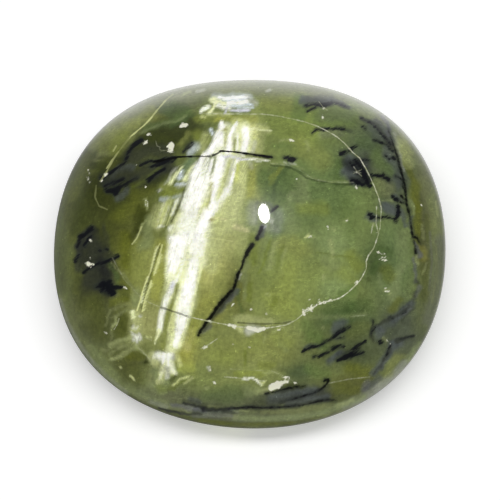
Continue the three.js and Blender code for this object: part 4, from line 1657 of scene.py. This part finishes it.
def hidden_colours(back, base):
    """The colour of the back wall and of the resting face."""
    wall = drawn_side(back, BACK_DABS, BACK_STROKES)
    face = drawn_side(base, BASE_DABS, BASE_STROKES)
    return wall + (face - wall) * base.seen[:, None]


def body_colours(front, back, base, hidden, level):
    """The body's colour at each vertex, without the band's painted sheen and with it."""
    fine_x, fine_y = wobble(front.x, front.y, FINE_WOBBLE_SIZE, FINE_WOBBLE)
    rough_x, rough_y = wobble(fine_x, fine_y, WOBBLE_SIZE, WOBBLE)
    body = np.tile(linear(BODY_COLOUR), (len(level), 1))
    dab(body, rough_x, rough_y, BODY_DABS)
    body += (hidden_colours(back, base) - body) * hidden[:, None]
    # painted reflection and painted shade along the rim
    paint(body, front.x, front.y, front.seen, RIM_REFLECTION_AND_SHADE_STROKES)
    paint(body, rough_x, rough_y, front.seen, BODY_STROKES)
    paint(body, fine_x, fine_y, front.seen, STEADY_STROKES)
    # a copy with the band's chatoyant sheen painted on as colour
    sheen_streaked = body.copy()
    streak_x, streak_y = wobble(front.x, front.y, FINE_WOBBLE_SIZE, FINE_WOBBLE, STREAK_STRETCH)
    paint(sheen_streaked, streak_x, streak_y, front.seen, SHEEN_BAND_STROKES)
    light = light_on(level)[:, None]
    return without_gloss(body) / light, without_gloss(sheen_streaked) / light


# What the mesh keeps for the material


def store(mesh, name, values):
    """Keeps a value, a vector or a colour for each vertex, for the material to read."""
    kinds = {1: ("FLOAT", "value"), 3: ("FLOAT_VECTOR", "vector"), 4: ("FLOAT_COLOR", "color")}
    kind, key = kinds[1 if values.ndim == 1 else values.shape[1]]
    attribute = mesh.attributes.new(name, kind, "POINT")
    attribute.data.foreach_set(key, values.astype(np.float32).ravel())


def store_colour(mesh, name, colours):
    store(mesh, name, np.column_stack([colours, np.ones(len(colours))]))


def sink_chips(mesh, points, normals, chips):
    """Sinks the chips a little into the surface."""
    dent = CHIP_DEPTH * (1.0 - smoothstep(*CHIP_EDGE, chips))
    points -= normals * dent[:, None]
    mesh.vertices.foreach_set("co", points.astype(np.float32).ravel())
    mesh.update()


def draw_marks(mesh, photo):
    """Stores every mark's field and the body's colours on the mesh, and sinks the chips."""
    noise.seed_set(WOBBLE_SEED)
    points = read_vectors(mesh.vertices, "co")
    normals = read_vectors(mesh.vertex_normals, "vector")
    front, back, base = make_sides(photo, points, normals)
    sides = ((front, FRONT_MARKS), (back, BACK_MARKS))
    chips = nearest_stroke(sides, "chips")
    hidden = 1.0 - smoothstep(*FRONT_COLOURS_SEEN, front.facing)

    store(mesh, "fern", nearest_stroke(sides, "ferns"))
    store(mesh, "vein", nearest_stroke(sides, "veins"))
    store(mesh, "chip", chips)
    store(mesh, "hairline", nearest_line(sides, "hairlines"))
    store(mesh, "crack", nearest_line(sides, "cracks"))
    store(mesh, "glint", nearest_line(sides, "glints"))
    store(mesh, "streak", band_field(front.x, front.y))
    store(mesh, "front", front.seen)
    store(mesh, "hidden", hidden)
    store(mesh, "spot", best_places(front, back))
    body, sheen_streaked = body_colours(front, back, base, hidden, normals[:, 2])
    store_colour(mesh, "body", body)
    store_colour(mesh, "sheen_streaked", sheen_streaked)
    sink_chips(mesh, points, normals, chips)


# The stone's material


class Recipe:
    """Adds shader nodes to one material and hands back their outputs."""

    def __init__(self, material):
        self.tree = material.node_tree

    def node(self, kind, inputs=None, **settings):
        made = self.tree.nodes.new(kind)
        for name, value in settings.items():
            setattr(made, name, value)
        for key, value in (inputs or {}).items():
            self.feed(made.inputs[key], value)
        return made

    def feed(self, socket, value):
        if isinstance(value, bpy.types.NodeSocket):
            self.tree.links.new(value, socket)
        else:
            socket.default_value = value

    def stored(self, name, form):
        """What the mesh keeps under a name, as its Fac, Vector or Color."""
        return self.node("ShaderNodeAttribute", attribute_name=name).outputs[form]

    def parts(self, vector):
        """The three parts of a vector."""
        return self.node("ShaderNodeSeparateXYZ", {0: vector}).outputs

    def number(self, operation, first, second=0.0):
        return self.node("ShaderNodeMath", {0: first, 1: second}, operation=operation).outputs[0]

    def plus(self, first, second):
        return self.number("ADD", first, second)

    def times(self, first, second):
        return self.number("MULTIPLY", first, second)

    def scaled(self, place, factors):
        """A vector or a colour times a number, or part by part times another one."""
        inputs = {0: place, 1: factors}
        return self.node("ShaderNodeVectorMath", inputs, operation="MULTIPLY").outputs[0]

    def turned(self, place, degrees):
        inputs = {"Vector": place, "Angle": math.radians(degrees)}
        return self.node("ShaderNodeVectorRotate", inputs, rotation_type="Z_AXIS").outputs[0]

    def rise(self, value, low, high, bottom=0.0, top=1.0):
        """Goes smoothly from bottom to top as the value goes from low to high."""
        inputs = {
            "Value": value,
            "From Min": low,
            "From Max": high,
            "To Min": bottom,
            "To Max": top,
        }
        made = self.node("ShaderNodeMapRange", inputs, interpolation_type="SMOOTHSTEP")
        return made.outputs["Result"]

    def mix(self, share, first, second):
        """Goes from the first colour to the second."""
        inputs = {"Factor": share, "A": first, "B": second}
        made = self.node("ShaderNodeMix", data_type="RGBA")
        for key, value in inputs.items():
            socket = next(s for s in made.inputs if s.name == key and s.enabled)
            self.feed(socket, value)
        return next(s for s in made.outputs if s.enabled)

    def noise(self, place, scale, detail, roughness):
        inputs = {"Vector": place, "Scale": scale, "Detail": detail, "Roughness": roughness}
        return self.node("ShaderNodeTexNoise", inputs).outputs["Fac"]

    def stretched_noise(self, place, waves, detail, roughness):
        return self.noise(self.scaled(place, waves), 1.0, detail, roughness)

    def uneven(self, value, amount):
        """Noise as a push of up to about half the amount either way."""
        return self.times(self.plus(value, -NOISE_MIDDLE), amount)

    def threads(self, value, width):
        """Thin threads, 1 where the noise is at its middle value and 0 away from it."""
        away = self.number("ABSOLUTE", self.plus(value, -NOISE_MIDDLE))
        return self.rise(away, 0.0, width, 1.0, 0.0)


def broken_streaks(recipe, streak):
    """The body's colour, with the band's painted sheen broken up by fine gaps."""
    gaps = recipe.stretched_noise(streak, *GAPS)
    share = recipe.rise(gaps, *GAPS_RISE)
    return recipe.mix(share, recipe.stored("body", "Color"), recipe.stored("sheen_streaked", "Color"))


def drawn_texture(recipe, spot, streak):
    """Fibres, layers and filaments, which run the way that the photograph shows."""
    fibres = recipe.stretched_noise(streak, *FIBRES)
    layers = recipe.stretched_noise(recipe.turned(spot, LAYERS_TURN), *LAYERS)
    filaments = recipe.stretched_noise(streak, *FILAMENTS)
    across = recipe.number("ABSOLUTE", recipe.parts(streak)[0])
    filaments_light = recipe.rise(across, *FILAMENTS_RISE)
    texture = recipe.plus(recipe.uneven(fibres, FIBRES_LIGHT), recipe.uneven(layers, LAYERS_LIGHT))
    return recipe.plus(texture, recipe.uneven(filaments, filaments_light))


def scratches(recipe, place, spot):
    """Fine pale scratches, in patches."""
    patches = recipe.rise(recipe.noise(place, *PATCHES), *PATCHES_RISE)
    wisps = recipe.stretched_noise(recipe.turned(spot, WISPS_TURN), *WISPS)
    return recipe.times(recipe.threads(wisps, SCRATCH_WIDTH), patches)


def body_light(recipe, place, spot, streak):
    """How bright each place of the body is beside its painted colour: mottling and specks."""
    clouds = recipe.noise(place, *CLOUDS)
    grain = recipe.noise(place, *GRAIN)
    wall = recipe.stretched_noise(place, *WALL)
    specks = recipe.rise(recipe.noise(place, *SPECKS), *SPECKS_RISE)
    front = recipe.stored("front", "Fac")
    behind = recipe.number("SUBTRACT", 1.0, front)
    light = recipe.plus(recipe.uneven(clouds, CLOUDS_LIGHT), recipe.uneven(grain, GRAIN_LIGHT))
    light = recipe.plus(light, recipe.times(drawn_texture(recipe, spot, streak), front))
    light = recipe.plus(light, recipe.times(recipe.uneven(wall, WALL_LIGHT), behind))
    light = recipe.plus(light, recipe.times(scratches(recipe, place, spot), SCRATCHES_LIGHT))
    light = recipe.plus(light, recipe.times(specks, SPECKS_LIGHT))
    return recipe.plus(light, 1.0)


def body_layers(recipe, place, spot):
    """The translucent green body with the band's painted sheen, and dark moss on the hidden side."""
    streak = recipe.stored("streak", "Vector")
    body = broken_streaks(recipe, streak)
    shaded = recipe.scaled(body, body_light(recipe, place, spot, streak))
    moss = recipe.rise(recipe.noise(place, *MOSS), *MOSS_RISE)
    share = recipe.times(moss, recipe.stored("hidden", "Fac"))
    return recipe.mix(recipe.times(share, MOSS_COVER), shaded, surface_colour(MOSS_COLOUR))


def over(recipe, below, field, rough, colour, push, softness, cover):
    """Lays a colour over what is below where a field, made rough by noise, is negative."""
    edge = recipe.plus(field, recipe.uneven(rough, push))
    share = recipe.rise(edge, -softness, softness, cover, 0.0)
    return recipe.mix(share, below, surface_colour(colour))


def thin_line(recipe, name, half_width, rough):
    """How much a thin line covers. It is wide where the noise is high, and thin where low."""
    offset, distance, strength = recipe.parts(recipe.stored(name, "Vector"))
    width = recipe.rise(rough, *LINE_NOISE, half_width * LINE_THIN, half_width * LINE_THICK)
    side = recipe.number("ABSOLUTE", offset)
    over_edge = recipe.number("SUBTRACT", side, width)
    line = recipe.rise(over_edge, -LINE_SOFTNESS, LINE_SOFTNESS, 1.0, 0.0)
    near = recipe.rise(distance, *LINE_END, 1.0, 0.0)
    return recipe.times(recipe.times(line, near), strength)


def opal_material():
    material = bpy.data.materials.new("moss_opal")
    material.use_nodes = True
    recipe = Recipe(material)
    shader = material.node_tree.nodes["Principled BSDF"]
    place = recipe.node("ShaderNodeTexCoord").outputs["Object"]
    place = recipe.scaled(place, (MILLIMETRES_A_METRE,) * 3)
    spot = recipe.stored("spot", "Vector")
    feather = recipe.noise(place, *FEATHER)
    ragged = recipe.noise(place, *RAGGED)
    barbs = recipe.stretched_noise(recipe.turned(spot, BARBS_TURN), *BARBS)

    colour = body_layers(recipe, place, spot)
    fern = recipe.stored("fern", "Fac")
    vein = recipe.stored("vein", "Fac")
    shadow = recipe.plus(recipe.number("MINIMUM", fern, vein), -SHADOW_MARGIN)
    colour = over(recipe, colour, shadow, ragged, *SHADOW_MARK)
    colour = over(recipe, colour, fern, barbs, *FERN_MARK)
    colour = over(recipe, colour, vein, feather, *VEIN_MARK)
    crack = thin_line(recipe, "crack", CRACK_HALF_WIDTH, ragged)
    colour = recipe.mix(crack, colour, surface_colour(CRACK_COLOUR))
    glint = thin_line(recipe, "glint", GLINT_HALF_WIDTH, ragged)
    colour = recipe.mix(glint, colour, surface_colour(GLINT_COLOUR))
    hairline = thin_line(recipe, "hairline", HAIRLINE_HALF_WIDTH, ragged)
    glitter = recipe.rise(feather, *GLITTER_RISE)
    dim = surface_colour(DIM_HAIRLINE_COLOUR)
    bright = surface_colour(BRIGHT_HAIRLINE_COLOUR)
    colour = recipe.mix(hairline, colour, recipe.mix(glitter, dim, bright))
    colour = over(recipe, colour, recipe.stored("chip", "Fac"), feather, *CHIP_MARK)
    recipe.feed(shader.inputs["Base Color"], colour)

    hairline_grooves = recipe.times(hairline, HAIRLINE_GROOVE)
    grooves = recipe.plus(hairline_grooves, recipe.times(crack, CRACK_GROOVE))
    bump_inputs = {"Height": grooves, "Strength": GROOVE_STRENGTH, "Distance": GROOVE_DEPTH}
    bump = recipe.node("ShaderNodeBump", bump_inputs)
    recipe.feed(shader.inputs["Normal"], bump.outputs[0])
    for name, value in POLISH.items():
        shader.inputs[name].default_value = value
    return material


def make_stone(photo):
    mesh = make_stone_mesh()
    draw_marks(mesh, photo)
    mesh.materials.append(opal_material())
    stone = bpy.data.objects.new("polished_opal", mesh)
    bpy.context.collection.objects.link(stone)
    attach(stone, "root")
    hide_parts("opal_cabochon")


# The studio


def make_floor():
    bpy.ops.mesh.primitive_circle_add(vertices=FLOOR_SIDES, radius=FLOOR_RADIUS, fill_type="NGON")
    floor = bpy.context.object
    floor.location.z = -FLOOR_GAP
    floor.name = "floor"
    material = bpy.data.materials.new("white_floor")
    material.use_nodes = True
    shader = material.node_tree.nodes["Principled BSDF"]
    shader.inputs["Base Color"].default_value = (FLOOR_ALBEDO, FLOOR_ALBEDO, FLOOR_ALBEDO, 1.0)
    shader.inputs["Roughness"].default_value = 1.0
    shader.inputs["Specular IOR Level"].default_value = 0.0
    shader.inputs["Emission Color"].default_value = WHITE
    shader.inputs["Emission Strength"].default_value = FLOOR_GLOW
    floor.data.materials.append(material)
    floor.visible_glossy = False


def make_shell(name, radius, light_name):
    """A glowing white sphere round everything, which only the camera and gloss can see."""
    bpy.ops.mesh.primitive_uv_sphere_add(
        segments=SHELL_SEGMENTS, ring_count=SHELL_RINGS, radius=radius
    )
    shell = bpy.context.object
    shell.name = name
    material = bpy.data.materials.new(light_name)
    material.use_nodes = True
    material.node_tree.nodes.clear()
    material.cycles.emission_sampling = "NONE"
    recipe = Recipe(material)
    light = recipe.node("ShaderNodeEmission", {"Color": WHITE, "Strength": 1.0})
    recipe.node("ShaderNodeOutputMaterial", {"Surface": light.outputs[0]})
    shell.data.materials.append(material)
    shell.visible_diffuse = False
    shell.visible_transmission = False
    shell.visible_volume_scatter = False
    shell.visible_shadow = False
    return shell, recipe, light


def room_rise(recipe, place, low, high, bottom, top):
    """A rise in brightness between two places, given as shares of the room's radius."""
    return recipe.rise(place, low * ROOM_RADIUS, high * ROOM_RADIUS, bottom, top)


def make_reflected_room():
    """A sphere round the stone that only its gloss sees: brighter behind the stone."""
    room, recipe, light = make_shell("reflected_room", ROOM_RADIUS, "room_light")
    x, y, z = recipe.parts(recipe.node("ShaderNodeTexCoord").outputs["Object"])
    slant_x, slant_y = ROOM_LEFT_SLANT
    across = recipe.plus(recipe.times(x, slant_x), recipe.times(y, slant_y))
    behind = room_rise(recipe, y, *ROOM_BEHIND)
    low = room_rise(recipe, z, *ROOM_LOW)
    left = room_rise(recipe, across, *ROOM_LEFT)
    right = room_rise(recipe, x, *ROOM_RIGHT)
    strength = recipe.times(recipe.times(behind, low), recipe.times(left, right))
    recipe.feed(light.inputs["Strength"], strength)
    room.visible_camera = False


def make_backdrop():
    """A white shell behind everything, which only the camera sees."""
    backdrop, _, _ = make_shell("backdrop", BACKDROP_RADIUS, "backdrop_white")
    backdrop.visible_glossy = False


def make_sky():
    world = bpy.data.worlds.new("white_sky")
    world.use_nodes = True
    background = world.node_tree.nodes["Background"]
    background.inputs["Color"].default_value = WHITE
    background.inputs["Strength"].default_value = SKY_BRIGHTNESS
    bpy.context.scene.world = world
    world.cycles_visibility.glossy = False


def make_lamp(name, size, energy):
    """An oval lamp, which shines down until it is turned."""
    data = bpy.data.lights.new(name, "AREA")
    data.shape = "ELLIPSE"
    data.size, data.size_y = size
    data.energy = energy
    lamp = bpy.data.objects.new(name, data)
    bpy.context.collection.objects.link(lamp)
    return lamp


def make_key():
    """A wide soft lamp overhead, strong enough to light the stone by KEY_BRIGHTNESS.

    KEY_EVENNESS is how much such a wide lamp gives beside a small one of the same energy.
    """
    energy = KEY_BRIGHTNESS * math.pi**2 * KEY_HEIGHT**2 / KEY_EVENNESS
    key = make_lamp("key", KEY_SIZE, energy)
    key.location = (0.0, KEY_BEHIND, KEY_HEIGHT)
    key.visible_glossy = False


def make_spark():
    """A small lamp behind and above the stone, seen as the bright spot on its crown."""
    view = View(SPARK_AZIMUTH, SPARK_ELEVATION, (0.0, 0.0, HEIGHT))
    spark = make_lamp("spark", SPARK_SIZE, SPARK_POWER)
    lean = Matrix.Rotation(math.radians(SPARK_LEAN), 4, "Z")
    spark.matrix_world = view.matrix(SPARK_DISTANCE) @ lean
    spark.visible_diffuse = False


photo = photo_view()
make_camera(photo)
make_stone(photo)
make_floor()
make_reflected_room()
make_backdrop()
make_sky()
make_key()
make_spark()
bpy.context.scene.view_settings.view_transform = "Standard"
